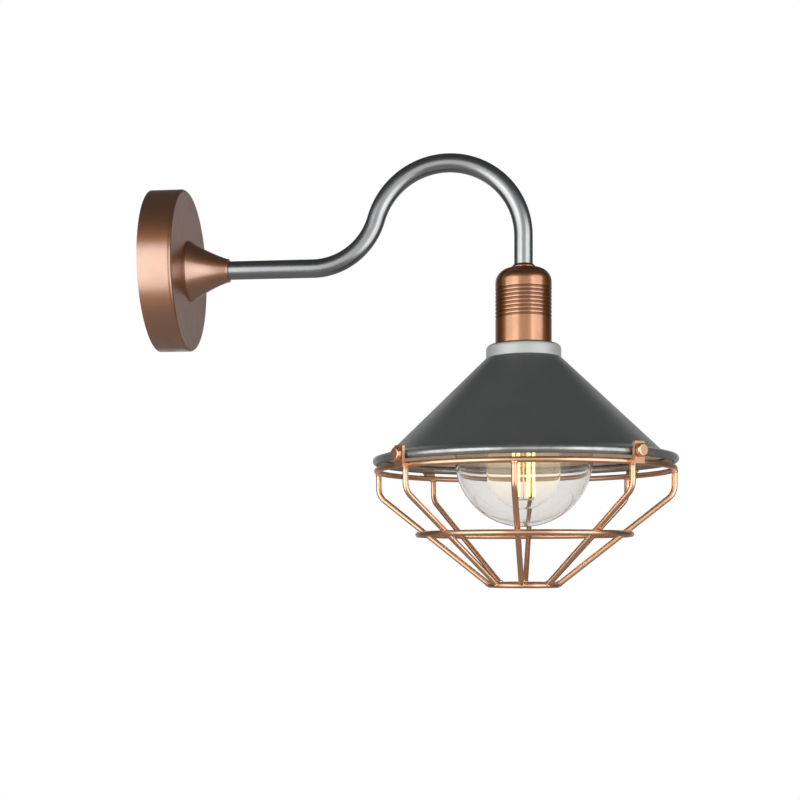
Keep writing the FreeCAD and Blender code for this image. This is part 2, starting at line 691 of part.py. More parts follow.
def make_holder():
    """The glazed lampholder: a wiring chamber above, a socket bore below, a web between."""
    reach = s.arm_reach
    flange = flange_radius
    chamber = s.chamber_diameter / 2
    bore = s.shell_diameter / 2 + s.thread_gap
    flange_bottom = shade_top
    flange_top = flange_bottom + s.holder_flange_height
    entry = nipple_bore_radius + s.flex_entry_gap
    top_radius = s.holder_top_diameter / 2
    upper = turned([
        (entry, holder_top), (entry, chamber_top), (chamber, chamber_top),
        (chamber, chamber_floor), (ZERO, chamber_floor), (ZERO, socket_top),
        (bore, socket_top), (bore, holder_mouth), (skirt_radius - s.holder_edge, holder_mouth),
        (skirt_radius, holder_mouth + s.holder_edge), (skirt_radius, flange_bottom),
        (flange, flange_bottom),
        (flange, flange_top), (skirt_radius, flange_top), (top_radius, holder_top)], reach)
    tools = []
    for side in (-1, 1):
        y = side * s.bridge_screw_spacing / 2
        tools.append(cylinder(s.bridge_screw_diameter / 2 + s.thread_gap, s.bridge_screw_hole * 2,
                              reach, y, holder_top - s.bridge_screw_hole))
        x = reach + side * s.post_spacing / 2
        tools.append(cylinder(s.post_diameter / 2 + s.thread_gap,
                              chamber_floor - shell_top + s.shell_drop, x, ZERO, shell_top))
    keep("lampholder", cut(upper, *tools))


def make_contacts():
    """Brass inside the lampholder: two posts, the threaded shell and the sprung centre contact."""
    reach = s.arm_reach
    half = s.post_spacing / 2
    post_top = chamber_floor + s.post_rise
    live = cylinder(s.post_diameter / 2, post_top - socket_top, reach + half, ZERO, socket_top)
    neutral = cylinder(s.post_diameter / 2, post_top - shell_top, reach - half, ZERO, shell_top)
    caps = [cylinder(s.post_head_diameter / 2, s.post_head_height, reach + side * half, ZERO,
                     post_top)
            for side in (-1, 1)]
    keep("terminal_posts", group(fuse(live, caps[1]), fuse(neutral, caps[0])))
    outer = s.shell_diameter / 2
    inner = outer - s.shell_wall
    eye = outer - s.shell_flange
    mouth = holder_mouth + s.shell_inset
    threads_out = []
    threads_in = []
    for turn in range(SHELL_THREADS):
        height = shell_top - s.shell_thread_start - s.thread_pitch * (turn + 0.5)
        crest = height + s.thread_pitch / 4
        root = height - s.thread_pitch / 4
        threads_out += [(outer, crest), (outer - s.shell_wall, root)]
        threads_in += [(inner, crest), (inner - s.shell_wall, root)]
    keep("lampholder_shell", turned(
        [(eye, shell_top), (outer, shell_top)] + threads_out
        + [(outer, mouth), (inner, mouth)] + list(reversed(threads_in))
        + [(inner, shell_top - s.shell_wall), (eye, shell_top - s.shell_wall)], reach))
    strip_bottom = socket_top - s.contact_thickness
    button_bottom = cap_top + s.seat_gap
    strip = box(half + s.contact_overlap, s.contact_width, s.contact_thickness,
                reach - s.contact_overlap, -s.contact_width / 2, strip_bottom)
    button = cylinder(s.contact_button / 2, strip_bottom - button_bottom, reach, ZERO, button_bottom)
    keep("centre_contact", fuse(strip, button))


# --- shade, rings and fitter ---

def make_shade():
    """A spun cone with a short neck and a rolled rim."""
    neck = neck_radius
    hole = skirt_radius + s.hole_gap
    circle = s.shade_bead_circle / 2
    foot = circle - s.shade_flange_width
    slope = (foot - neck) / s.shade_cone_height
    offset = s.shade_wall * (slope * slope + 1).root()
    under = shade_top - s.shade_wall
    bead_top = bead_height + bead_radius
    inner_neck = neck - s.shade_wall
    inner_cone_top = cone_top - (offset - s.shade_wall) / slope
    inner_foot = neck - offset + slope * (cone_top - cone_foot + s.shade_wall)
    body = turned([
        (hole, shade_top), (hole, under), (inner_neck, under), (inner_neck, inner_cone_top),
        (inner_foot, cone_foot - s.shade_wall), (circle, bead_top - s.shade_wall),
        (circle, bead_top), (foot, cone_foot), (neck, cone_top), (neck, shade_top)], s.arm_reach)
    round_rings(body, s.shade_shoulder_radius, [(neck, shade_top)])
    round_rings(body, s.shade_shoulder_radius - s.shade_wall, [(inner_neck, under)])
    bead = new_sketch(body, "XZ_Plane")
    edge = bead.addGeometry(Part.Circle(Vector(circle.value, bead_height.value, 0),
                                        Vector(0, 0, 1), bead_radius.value))
    hold_point(bead, edge, 3, circle, bead_height)
    hold(bead, "Radius", edge, size=bead_radius)
    revolve(body, bead, "V_Axis")
    keep("shade", body)


def make_rings():
    """The two threaded rings on the lampholder's skirt: one clamps the shade, one the fitter."""
    for label, top, width in (("shade_ring", shade_ring_top, s.ring_width),
                              ("fitter_ring", fitter_ring_top, fitter_ring_width)):
        outer = ring_bore + width
        keep(label, turned([
            (ring_bore, top), (ring_bore, top - s.ring_height),
            (outer - s.ring_edge, top - s.ring_height),
            (outer, top - s.ring_height + s.ring_edge),
            (outer, top)], s.arm_reach))


def make_fitter():
    """The glass fitter: a spun cap whose skirt takes the neck of the glass."""
    outer = s.fitter_mouth_diameter / 2
    hub = ring_bore + s.fitter_hub_width
    inner_hub = hub - s.fitter_wall / 2
    keep("glass_fitter", turned([
        (ring_bore, fitter_top), (ring_bore, fitter_top - s.fitter_wall),
        (inner_hub, fitter_top - s.fitter_wall), (inner_hub, fitter_knee - s.fitter_wall / 2),
        (fitter_inner_radius, fitter_shoulder), (fitter_inner_radius, fitter_lip),
        (outer, fitter_lip), (outer, fitter_shoulder), (hub, fitter_knee), (hub, fitter_top)],
        s.arm_reach))
    keep("glass_gasket", turned([
        (fitter_inner_radius - s.gasket_width, gasket_top), (fitter_inner_radius, gasket_top),
        (fitter_inner_radius, gasket_top - s.gasket_thickness),
        (fitter_inner_radius - s.gasket_width, gasket_top - s.gasket_thickness)], s.arm_reach))


def make_glass():
    """A blown bowl: straight neck, short shoulder, straight wall, round bottom."""
    outer = s.glass_diameter / 2
    inner = outer - s.glass_wall
    neck_inner = glass_neck_radius - s.glass_wall
    neck_foot = glass_top - s.glass_neck_height
    shoulder_foot = neck_foot - s.glass_shoulder_height
    bowl = shoulder_foot - s.glass_wall_height
    body = turned([
        (neck_inner, glass_top), (neck_inner, neck_foot - s.glass_wall / 2),
        (inner, shoulder_foot - s.glass_wall / 2), (inner, bowl), (ZERO, bowl - inner, -inner),
        (ZERO, bowl - outer), (outer, bowl, outer), (outer, shoulder_foot),
        (glass_neck_radius, neck_foot), (glass_neck_radius, glass_top)], s.arm_reach)
    round_rings(body, s.glass_shoulder_radius, [(outer, shoulder_foot),
                                                (inner, shoulder_foot - s.glass_wall / 2)])
    keep("glass_bowl", body)


# --- bulb ---

def make_bulb():
    outer = s.bulb_diameter / 2
    neck = s.bulb_neck_diameter / 2
    wall = s.bulb_wall
    crown = cap_foot - s.bulb_length
    widest = crown + s.bulb_crown_height
    drop = widest - crown
    crown_radius = (outer * outer + drop * drop) / (drop * 2)
    inner_crown = crown_radius - wall
    flank = outer - neck
    rise = cap_foot - widest
    flank_radius = (flank * flank + rise * rise) / (flank * 2)
    keep("bulb_glass", turned([
        (neck - wall, cap_foot), (outer - wall, widest, -(flank_radius - wall)),
        (ZERO, crown + wall, -inner_crown), (ZERO, crown), (outer, widest, crown_radius),
        (neck, cap_foot, flank_radius)], s.arm_reach))
    root = cap_radius - s.cap_thread_depth
    threads = []
    for turn in range(CAP_THREADS):
        height = cap_shoulder - s.thread_pitch * turn
        threads += [(cap_radius, height), (root, height - s.thread_pitch / 2)]
    cap_inner = root - s.cap_wall * 2
    contact = s.cap_contact_diameter / 2
    keep("bulb_cap", turned(
        [(ZERO, cap_contact_bottom), (contact, cap_contact_bottom)] + threads
        + [(root, cap_foot), (neck - wall, cap_foot), (cap_inner, cap_foot + wall),
           (cap_inner, cap_shoulder), (ZERO, cap_shoulder)], s.arm_reach))
    keep("bulb_contact", turned([
        (ZERO, cap_top), (s.cap_contact_tip / 2, cap_top),
        (contact, cap_top - s.cap_contact_height / 2), (contact, cap_contact_bottom),
        (ZERO, cap_contact_bottom)], s.arm_reach))
    stem = s.stem_diameter / 2
    stem_neck = s.stem_neck / 2
    neck_foot = cap_foot - s.stem_neck_length
    bottom = crown + s.filament_end_gap
    top = bottom + s.filament_length
    stem_foot = top + s.stem_gap
    keep("bulb_stem", turned([
        (ZERO, cap_shoulder), (stem_neck, cap_shoulder), (stem_neck, neck_foot),
        (stem, neck_foot - s.stem_flare), (stem, stem_foot + s.stem_taper),
        (s.stem_tip / 2, stem_foot), (ZERO, stem_foot)], s.arm_reach))
    circle = s.filament_circle / 2
    rods = []
    for index in range(FILAMENT_COUNT):
        angle = 2 * math.pi * index / FILAMENT_COUNT
        x = s.arm_reach + circle * math.cos(angle)
        y = circle * math.sin(angle)
        rods.append(cylinder(s.filament_diameter / 2, s.filament_length, x, y, bottom))
    keep("bulb_filaments", group(*rods))
    holders = []
    thick = s.frame_thickness
    for height in (top, bottom - thick):
        holders.append(cut(
            cylinder(circle + thick / 2, thick, s.arm_reach, ZERO, height),
            cylinder(circle - thick / 2, thick * 3, s.arm_reach, ZERO, height - thick)))
    spine = cylinder(s.spine_diameter / 2, stem_foot - bottom + thick, s.arm_reach, ZERO,
                     bottom - thick)
    bars = [box(circle * 2, thick, thick, s.arm_reach - circle, -thick / 2, height)
            for height in (top, bottom - thick)]
    keep("filament_frame", fuse(spine, *holders, *bars))


# --- cage ---

def around_axis(target, angle):
    """Stand a piece on the lamp's axis and turn it about that axis by an angle of the sheet."""
    place(target, s.arm_reach, turn=Rotation(Vector(0, 0, 1), angle.value))
    bind(target, "Placement.Rotation.Angle", angle)
    return target


def slant_ends():
    """The knee and the lower end of a wire's slanting run, as (radius, height)."""
    knee = (ring_radius, top_ring_height - s.knee_drop)
    toe = (low_ring_radius, top_ring_height - s.bottom_ring_drop)
    return knee, toe


def make_cage_rings():
    keep("cage_top_ring", torus(ring_radius, wire_radius, s.arm_reach, top_ring_height))
    knee, toe = slant_ends()
    run = knee[0] - toe[0]
    fall = knee[1] - toe[1]
    length = (run * run + fall * fall).root()
    wire_there = knee[0] - run / fall * (s.mid_ring_drop - s.knee_drop)
    ring = wire_there + (s.wire_diameter - s.weld_bite) * length / fall
    keep("cage_mid_ring", torus(ring, wire_radius, s.arm_reach, top_ring_height - s.mid_ring_drop))
    keep("cage_bottom_ring", torus(low_ring_radius, wire_radius, s.arm_reach, toe[1]))


def make_cage_wire(number):
    """One wire: down from the top ring, round the knee and in to the bottom ring."""
    knee, toe = slant_ends()
    run = knee[0] - toe[0]
    fall = knee[1] - toe[1]
    length = (run * run + fall * fall).root()
    start_height = top_ring_height - wire_radius + s.weld_bite
    stop = wire_radius - s.weld_bite
    end = (toe[0] + run / length * stop, toe[1] + fall / length * stop)
    body = new_body()
    path = new_sketch(body, "XZ_Plane")
    bend = math.atan2(run.value, fall.value)
    setback = s.knee_radius.value * math.tan(bend / 2)
    top = Vector(knee[0].value, start_height.value, 0)
    bend_start = Vector(knee[0].value, knee[1].value + setback, 0)
    slope = Vector(-run.value, -fall.value, 0) / length.value
    bend_end = Vector(knee[0].value, knee[1].value, 0) + slope * setback
    centre = bend_start - Vector(s.knee_radius.value, 0, 0)
    straight = path.addGeometry(Part.LineSegment(top, bend_start))
    knee_arc = path.addGeometry(Part.ArcOfCircle(
        Part.Circle(centre, Vector(0, 0, 1), s.knee_radius.value), -bend, 0))
    slant = path.addGeometry(Part.LineSegment(bend_end, Vector(end[0].value, end[1].value, 0)))
    hold_point(path, straight, 1, knee[0], start_height)
    path.addConstraint(Sketcher.Constraint("Vertical", straight))
    path.addConstraint(Sketcher.Constraint("Tangent", straight, 2, knee_arc, 2))
    path.addConstraint(Sketcher.Constraint("Tangent", knee_arc, 1, slant, 1))
    hold(path, "Radius", knee_arc, size=s.knee_radius)
    hold_point(path, slant, 2, end[0], end[1])
    aim = path.addGeometry(Part.LineSegment(Vector(knee[0].value, knee[1].value, 0), bend_end), True)
    hold_point(path, aim, 1, knee[0], knee[1])
    path.addConstraint(Sketcher.Constraint("Coincident", aim, 2, slant, 1))
    path.addConstraint(Sketcher.Constraint("Parallel", aim, slant))
    sweep(body, path, [(knee[0], ZERO, wire_radius)], "XY_Plane", start_height)
    keep(f"cage_wire_{number}", around_axis(body, s.cage_phase + 360 / WIRE_COUNT * (number - 1)))


def clip_angle(number):
    """Clips stand on every second wire, starting one wire round from the front."""
    return s.cage_phase + 360 / WIRE_COUNT * (2 * number - 1)


def make_clips():
    """Flat upright plates with a foot welded to the top ring and a tapped hole for the screw."""
    clips = []
    top = top_ring_height + s.clip_above_ring
    bottom = top - s.clip_height
    for number in range(1, CLIP_COUNT + 1):
        body = new_body()
        face = new_sketch(body, "XZ_Plane")
        foot_inside = ring_radius + wire_radius - s.weld_bite
        foot_top = bottom + s.clip_foot_height
        outline(face, [(clip_inside, top), (clip_inside, foot_top), (foot_inside, foot_top),
                       (foot_inside, bottom), (clip_outside, bottom), (clip_outside, top)])
        pad = body.newObject("PartDesign::Pad", "Pad")
        pad.Profile = face
        bind(pad, "Length", s.clip_width)
        pad.SideType = "Symmetric"
        doc.recompute()
        corners = []
        for index, edge in enumerate(pad.Shape.Edges, start=1):
            middle = edge.CenterOfMass
            radial = abs(edge.tangentAt(edge.FirstParameter).x) > 0.99
            if radial and abs(middle.z - top.value) < 0.01:
                corners.append(f"Edge{index}")
        rounding = body.newObject("PartDesign::Fillet", "Fillet")
        rounding.Base = (pad, corners)
        bind(rounding, "Radius", s.clip_corner_radius)
        tapped = new_sketch(body, "YZ_Plane")
        hole_radius = s.thumb_screw_diameter / 2 + s.thread_gap
        ring = tapped.addGeometry(Part.Circle(Vector(0, bead_height.value, 0),
                                              Vector(0, 0, 1), hole_radius.value))
        hold_point(tapped, ring, 3, ZERO, bead_height)
        hold(tapped, "Radius", ring, size=hole_radius)
        pocket = body.newObject("PartDesign::Pocket", "Pocket")
        pocket.Profile = tapped
        pocket.Type = "ThroughAll"
        pocket.SideType = "Symmetric"
        clips.append(around_axis(body, clip_angle(number)))
    keep("cage_clips", group(*clips))


def make_thumb_screw(number):
    """A screw with a domed round head; its flat tip clamps the rolled rim of the shade."""
    tip = rim_radius + s.seat_gap
    seat = clip_outside + s.seat_gap
    shank = s.thumb_screw_diameter / 2
    head = s.thumb_head_diameter / 2
    end = seat + s.thumb_head_height
    body = new_body()
    sketch = new_sketch(body, "XY_Plane")
    edge = s.thumb_edge
    outline(sketch, [
        (tip, ZERO), (end, ZERO), (end, head), (seat + edge, head), (seat, head - edge),
        (seat, shank), (tip + edge, shank), (tip, shank - edge)])
    revolve(body, sketch, "H_Axis")
    round_rings(body, s.thumb_dome_radius, [(head, end)])
    around_axis(body, clip_angle(number))
    bind(body, "Placement.Base.z", bead_height)
    keep(f"thumb_screw_{number}", body)


# --- wiring held inside the arm ---

def make_flex():
    body = new_body()
    path = arm_path(body, flex_end, -flex_foot)
    sweep(body, path, [(ZERO, ZERO, s.flex_diameter / 2)], "YZ_Plane", flex_end)
    keep("supply_flex", body)


def rounded_wire(points, bend):
    """Straight runs joined by tangent arcs of one radius."""
    edges = []
    start = points[0]
    for before, corner, after in zip(points, points[1:], points[2:]):
        incoming = (corner - before).normalize()
        outgoing = (after - corner).normalize()
        turn = incoming.getAngle(outgoing)
        setback = bend * math.tan(turn / 2)
        first = corner - incoming * setback
        last = corner + outgoing * setback
        inward = (outgoing - incoming).normalize()
        middle = corner + inward * (bend / math.cos(turn / 2) - bend)
        edges.append(Part.LineSegment(start, first).toShape())
        edges.append(Part.Arc(first, middle, last).toShape())
        start = last
    edges.append(Part.LineSegment(start, points[-1]).toShape())
    return Part.Wire(edges)


def lead(points):
    """The solid of one insulated conductor along a route of corners."""
    route = rounded_wire(points, s.lead_bend_radius.value)
    direction = points[1] - points[0]
    section = Part.Wire(Part.Circle(points[0], direction, s.lead_diameter.value / 2).toShape())
    return route.makePipeShell([section], True, False)


def make_leads():
    """Conductors from the flex to the terminal block, the earth screw and the lampholder posts."""
    start_x = flex_end.value
    spread = s.lead_spread.value
    block_x = block_middle.value
    block_top = -s.block_place.value + s.block_width.value / 2
    routes = {}
    for label, side in (("live_lead", -1), ("neutral_lead", 1)):
        y = side * s.block_pole_pitch.value / 2
        drop = -s.lead_drop.value
        routes[label] = [Vector(start_x, side * spread, drop), Vector(block_x, side * spread, drop),
                         Vector(block_x, y, block_top - s.lead_entry.value)]
    lug_x = (s.strap_thickness + s.earth_washer_thickness + s.earth_head_height / 2).value
    reach_z = (s.earth_screw_place - s.earth_screw_head / 2 - s.lead_end_gap).value
    routes["earth_lead"] = [Vector(start_x, 0, spread), Vector(lug_x, 0, spread),
                            Vector(lug_x, 0, reach_z)]
    for label, points in routes.items():
        piece = doc.addObject("Part::Feature", "Lead")
        piece.Shape = lead(points)
        keep(label, piece)
    post_top = (chamber_floor + s.post_rise + s.post_head_height).value
    pair = []
    for side in (-1, 1):
        start = Vector(side * spread, 0, flex_foot.value)
        knee = Vector(side * spread, 0, (flex_foot - s.lead_straight).value)
        outer = Vector(side * s.post_spacing.value / 2, 0, post_top)
        pair.append(lead([start, knee, outer]))
    piece = doc.addObject("Part::Feature", "HolderLeads")
    piece.Shape = Part.makeCompound(pair)
    piece.Placement = Placement(Vector(s.arm_reach.value, 0, 0), Rotation())
    keep("holder_leads", piece)


make_canopy()
make_strap()
make_canopy_screws()
make_earth_screw()
make_terminal_block()
make_arm_tube()
make_foot_fixing()
make_arm_cone()
make_head_fixing()
make_cup()
make_bridge()
make_holder()
make_contacts()
make_shade()
make_rings()
make_fitter()
make_glass()
make_bulb()
make_cage_rings()
for wire_number in range(1, WIRE_COUNT + 1):
    make_cage_wire(wire_number)
make_clips()
for screw_number in range(1, CLIP_COUNT + 1):
    make_thumb_screw(screw_number)
make_flex()
make_leads()
doc.recompute()

faults = [item.Name for item in doc.Objects if "Invalid" in item.State or "Error" in item.State]
for label, item in subparts.items():
    if item.Shape.isNull() or not item.Shape.isValid():
        faults.append(label)
if faults:
    raise RuntimeError("failed objects: " + ", ".join(faults))

os.makedirs("parts", exist_ok=True)
for label, item in subparts.items():
    item.Shape.exportStep(f"parts/{label}.step")
    solids = item.Shape.Solids
    print(f"{label}: {len(solids)} solid(s), {item.Shape.Volume / 1000:.2f} cm3")
print(len(subparts), "sub-parts written")
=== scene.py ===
# %% [markdown]
# # A cage wall light
# The light is already built to size: a round wall canopy, a gooseneck arm, a turned cup, a
# conical shade, a glass bowl with a long bulb, and a wire cage held by four screws. This lesson
# gives every piece its finish, models the blown glass, the glowing rods and the weld beads by
# hand, and sets up a small studio. All lengths are in metres.

# %% Load the frame
import json
import math

import bmesh
import bpy
from mathutils import Matrix, Vector


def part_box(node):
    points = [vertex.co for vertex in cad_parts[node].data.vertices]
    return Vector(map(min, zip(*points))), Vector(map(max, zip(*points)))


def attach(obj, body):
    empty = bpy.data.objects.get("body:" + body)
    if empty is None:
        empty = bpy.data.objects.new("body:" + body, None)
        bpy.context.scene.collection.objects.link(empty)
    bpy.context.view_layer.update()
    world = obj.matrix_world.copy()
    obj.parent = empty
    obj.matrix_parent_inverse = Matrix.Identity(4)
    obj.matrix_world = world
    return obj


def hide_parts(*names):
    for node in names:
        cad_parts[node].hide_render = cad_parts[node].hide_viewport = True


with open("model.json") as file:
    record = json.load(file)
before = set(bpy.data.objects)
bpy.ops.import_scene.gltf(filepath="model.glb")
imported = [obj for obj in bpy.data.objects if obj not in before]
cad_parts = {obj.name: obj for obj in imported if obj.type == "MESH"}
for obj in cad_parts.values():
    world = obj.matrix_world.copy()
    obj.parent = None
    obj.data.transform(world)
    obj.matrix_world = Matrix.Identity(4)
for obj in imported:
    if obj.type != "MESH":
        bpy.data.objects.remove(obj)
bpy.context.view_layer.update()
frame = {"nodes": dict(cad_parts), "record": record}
nodes = frame["nodes"]

# %% [markdown]
# ## Places on the lamp
# Everything below the arm is round about one upright line, the lamp's axis. Reading the places
# from the frame, and not typing them in, keeps each new piece where the real one sits.

# %% Read the main places
MM = 0.001


def middle(name):
    low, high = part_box(name)
    return (low + high) / 2


def radius(name):
    low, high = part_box(name)
    return (high.y - low.y) / 2


axis_x = middle("lampholder").x
wire_radius = (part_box("cage_top_ring")[1].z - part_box("cage_top_ring")[0].z) / 2
top_ring_z = middle("cage_top_ring").z
mid_ring_z = middle("cage_mid_ring").z
low_ring_z = middle("cage_bottom_ring").z
top_ring_r = radius("cage_top_ring") - wire_radius
mid_ring_r = radius("cage_mid_ring") - wire_radius
low_ring_r = radius("cage_bottom_ring") - wire_radius
print("lamp axis at x =", round(axis_x, 4), "wire", round(2 * wire_radius / MM, 1), "mm")
print("rings at", [round(z, 4) for z in (top_ring_z, mid_ring_z, low_ring_z)])

# %% [markdown]
# ## The camera
# The picture was taken from in front, level, a little to the lamp's left, with the canopy
# turned slightly away. The camera stays level and the frame is moved with the lens shift, as a
# view camera does, so upright edges stay upright.

# %% Camera
PICTURE = 800
FOCAL_PIXELS = 1250
TURN = math.radians(5.8)
SENSOR = 36
HORIZON_PIXEL = 560.5
CENTRE_PIXEL = 355
CAMERA_PLACE = (0.28638, -1.08716, -0.256)

lens = bpy.data.cameras.new("Camera")
camera = bpy.data.objects.new("Camera", lens)
bpy.context.scene.collection.objects.link(camera)
bpy.context.scene.camera = camera
lens.sensor_width = SENSOR
lens.lens = FOCAL_PIXELS * SENSOR / PICTURE
lens.shift_x = (PICTURE / 2 - CENTRE_PIXEL) / PICTURE
lens.shift_y = (HORIZON_PIXEL - PICTURE / 2) / PICTURE
camera.location = CAMERA_PLACE
camera.rotation_euler = (math.radians(90), 0, TURN)
print("lens", round(lens.lens, 2), "mm")

# %% [markdown]
# ## Shader sums
# A finish is easier to read as a sum than as a wall of nodes. `Wire` wraps one output socket and
# adds a Math node for each sign of the sum it's used in. It keeps the tree that it came from, so
# that the new node lands in the same material.

# %% Wire
class Wire:
    """One output socket that can be used in sums."""

    def __init__(self, owner, socket):
        self.owner = owner
        self.socket = socket

    def sum(self, operation, left, right):
        return self.owner.node("ShaderNodeMath", {"operation": operation}, {0: left, 1: right})

    def __add__(self, other):
        return self.sum("ADD", self, other)

    def __radd__(self, other):
        return self.sum("ADD", other, self)

    def __sub__(self, other):
        return self.sum("SUBTRACT", self, other)

    def __rsub__(self, other):
        return self.sum("SUBTRACT", other, self)

    def __mul__(self, other):
        return self.sum("MULTIPLY", self, other)

    def __truediv__(self, other):
        return self.sum("DIVIDE", self, other)

    def __pow__(self, other):
        return self.sum("POWER", self, other)


print("a wire can", [word.strip("_") for word in vars(Wire) if callable(getattr(Wire, word))])

# %% [markdown]
# ## One method for every other node
# Each node is made the same way: its kind, its settings, then what goes into its inputs. A wire
# is linked and a plain number is typed in. The same method serves materials and the world.

# %% Nodes
class Nodes:
    """A node tree that nodes can be added to."""

    def __init__(self, tree):
        self.tree = tree

    def node(self, kind, settings, inputs, output=0):
        made = self.tree.nodes.new(kind)
        for name, value in settings.items():
            setattr(made, name, value)
        for name, value in inputs.items():
            self.feed(made.inputs[name], value)
        return Wire(self, made.outputs[output])

    def feed(self, socket, value):
        if isinstance(value, Wire):
            self.tree.links.new(value.socket, socket)
        else:
            socket.default_value = value

    def surface(self, shader):
        """Make shader what the material or the world shows."""
        end = next(node for node in self.tree.nodes if node.type.startswith("OUTPUT"))
        self.feed(end.inputs["Surface"], shader)


def new_material(name):
    material = bpy.data.materials.new(name)
    material.use_nodes = True
    return material


print("nodes in a new material:", [node.name for node in new_material("Sample").node_tree.nodes])
bpy.data.materials.remove(bpy.data.materials["Sample"])

# %% [markdown]
# ## A finish
# Real surfaces are never even: they carry grain, patches of wear and fine tool marks. `Finish`
# puts what is even on the shader itself and has a word for each kind of unevenness: `grain` is
# noise of a known size, `patches` is noise with edges, `near` is a band round a place, and
# `raise_by` lifts the surface a little without any new faces.

# %% Finish
class Finish(Nodes):
    """A material: its fixed values go on the shader, and what varies is wired in."""

    def __init__(self, name, colour, metallic, roughness, **fixed):
        self.material = new_material(name)
        super().__init__(self.material.node_tree)
        self.shader = self.tree.nodes["Principled BSDF"]
        self.colour = colour
        self.height = None
        fixed.update(Base_Color=(*colour, 1), Metallic=metallic, Roughness=roughness)
        for socket, value in fixed.items():
            self.wire(socket.replace("_", " "), value)

    def wire(self, socket, value):
        self.feed(self.shader.inputs[socket], value)

    def place(self):
        return self.node("ShaderNodeTexCoord", {}, {}, "Object")

    def part(self, axis):
        return self.node("ShaderNodeSeparateXYZ", {}, {0: self.place()}, axis)

    def grain(self, size, detail=2.0, stretch=(1, 1, 1), where=None):
        """Noise from 0 to 1 whose lumps are about size metres across."""
        spot = self.node("ShaderNodeMapping", {}, {"Vector": where or self.place(), "Scale": stretch})
        inputs = {"Vector": spot, "Scale": 1 / size, "Detail": detail}
        return self.node("ShaderNodeTexNoise", {}, inputs)

    def patches(self, size, low=0.45, high=0.62, detail=3.0):
        """Noise pushed apart into patches that are 0 or 1, with soft edges."""
        return self.step(self.grain(size, detail), low, high)

    def step(self, value, low, high):
        """0 below low, 1 above high, and a smooth rise between them."""
        return self.node("ShaderNodeMapRange", {"interpolation_type": "SMOOTHSTEP"},
                         {"Value": value, "From Min": low, "From Max": high})

    def distance(self, value, place):
        return self.node("ShaderNodeMath", {"operation": "ABSOLUTE"}, {0: value - place})

    def near(self, value, place, reach):
        """1 where value is at place, falling to 0 at reach from it."""
        return 1 - self.step(self.distance(value, place), 0.0, reach)

    def blend(self, share, low, high):
        """The colour low where share is 0, high where it is 1, and a mix between."""
        low = low if isinstance(low, Wire) else (*low, 1)
        high = high if isinstance(high, Wire) else (*high, 1)
        return self.node("ShaderNodeMix", {"data_type": "RGBA"}, {0: share, 6: low, 7: high}, 2)

    def tint(self, share, factor):
        """The finish's colour, and its colour times factor where share is 1."""
        tinted = [part * scale for part, scale in zip(self.colour, factor)]
        return self.blend(share, self.colour, tinted)

    def raise_by(self, height, depth):
        """Bump: height from 0 to 1 stands for depth metres."""
        inputs = {"Height": height, "Distance": depth}
        if self.height:
            inputs["Normal"] = self.height
        self.height = self.node("ShaderNodeBump", {}, inputs)
        self.wire("Normal", self.height)


print("a finish can", [word for word in vars(Finish) if not word.startswith("_")])

# %% [markdown]
# ## Turned and spun metal
# The canopy, cone, cup and shade are made on a lathe, so their faint tool lines run round the
# axis. Noise that is read at (radius, height) and not at (x, y, z) gives such lines: every point
# of one circle reads the same value.

# %% Turning lines
def lathe_spot(finish, upright=True):
    """(radius, place along the axis, 0) for a piece turned about the lamp's or the arm's axis."""
    x, y, z = (finish.part(axis) for axis in "XYZ")
    first, second, along = (x - axis_x, y, z) if upright else (y, z, x)
    out = (first * first + second * second) ** 0.5
    return finish.node("ShaderNodeCombineXYZ", {}, {0: out, 1: along})


def lathe_lines(finish, size, upright=True):
    return finish.grain(size, where=lathe_spot(finish, upright))


print("turned about x =", round(axis_x / MM), "mm, or about the arm")

# %% [markdown]
# ## Bronze lacquer
# The canopy, cone, collar and cup wear a satin bronze lacquer over steel. Metal paint is a metal
# shader under a clear coat that adds a whiter gloss of its own, so the lights look paler than the
# paint. In the cup's turned grooves the colour is darker and the surface duller: partly lacquer
# that has pooled there, partly painted shade in the recess. The ridges between them are glossier
# and carry a thin painted highlight. The mask repeats one groove at the grooves' pitch. Its edges
# are shares of that pitch, measured from the middle of the nearest groove.

# %% Groove mask
FIRST_GROOVE = -23.6 * MM
GROOVE_PITCH = 3.35 * MM
GROOVE_COUNT = 8
GROOVE_EDGE = (0.22, 0.36)
RIDGE_TOP = 0.46
RIDGE_REACH = 0.14


def groove_masks(finish):
    """1 in the cup's grooves, and 1 on the ridges between and beside them."""
    count = (FIRST_GROOVE - finish.part("Z")) / GROOVE_PITCH
    nearest = finish.node("ShaderNodeMath", {"operation": "ROUND"}, {0: count})
    capped = nearest.sum("MINIMUM", nearest, GROOVE_COUNT - 1)
    held = capped.sum("MAXIMUM", capped, 0)
    off = finish.distance(count, held)
    grooves = 1 - finish.step(off, *GROOVE_EDGE)
    ridges = finish.near(off, RIDGE_TOP, RIDGE_REACH)
    return grooves, ridges


print("groove pitch", round(GROOVE_PITCH / MM, 2), "mm")

# %% [markdown]
# Noise of two sizes shifts the lacquer's colour by a few percent, as dust and handling do. The
# turning lines run about the arm on the canopy and the cone, and about the lamp's axis on the
# rest, so the same recipe makes two materials. The canopy's lacquer is thick: duller metal under a
# strong clear coat. The cup's coat is thin and glossy, and its metal stays warm where it turns
# away, which the tint of its edge says.

# %% Bronze
BRONZE = (0.42, 0.162, 0.048)
WHITE_EDGE = (1, 1, 1, 1)
WARM_EDGE = (0.8, 0.5, 0.35, 1)
GROOVE_SHADE_AND_POOL = (0.13, 0.052, 0.026)
RIDGE_HIGHLIGHT = (0.62, 0.32, 0.15)
DUST = (0.50, 0.30, 0.18)
CLOUD_TINT = (0.92, 0.90, 0.87)


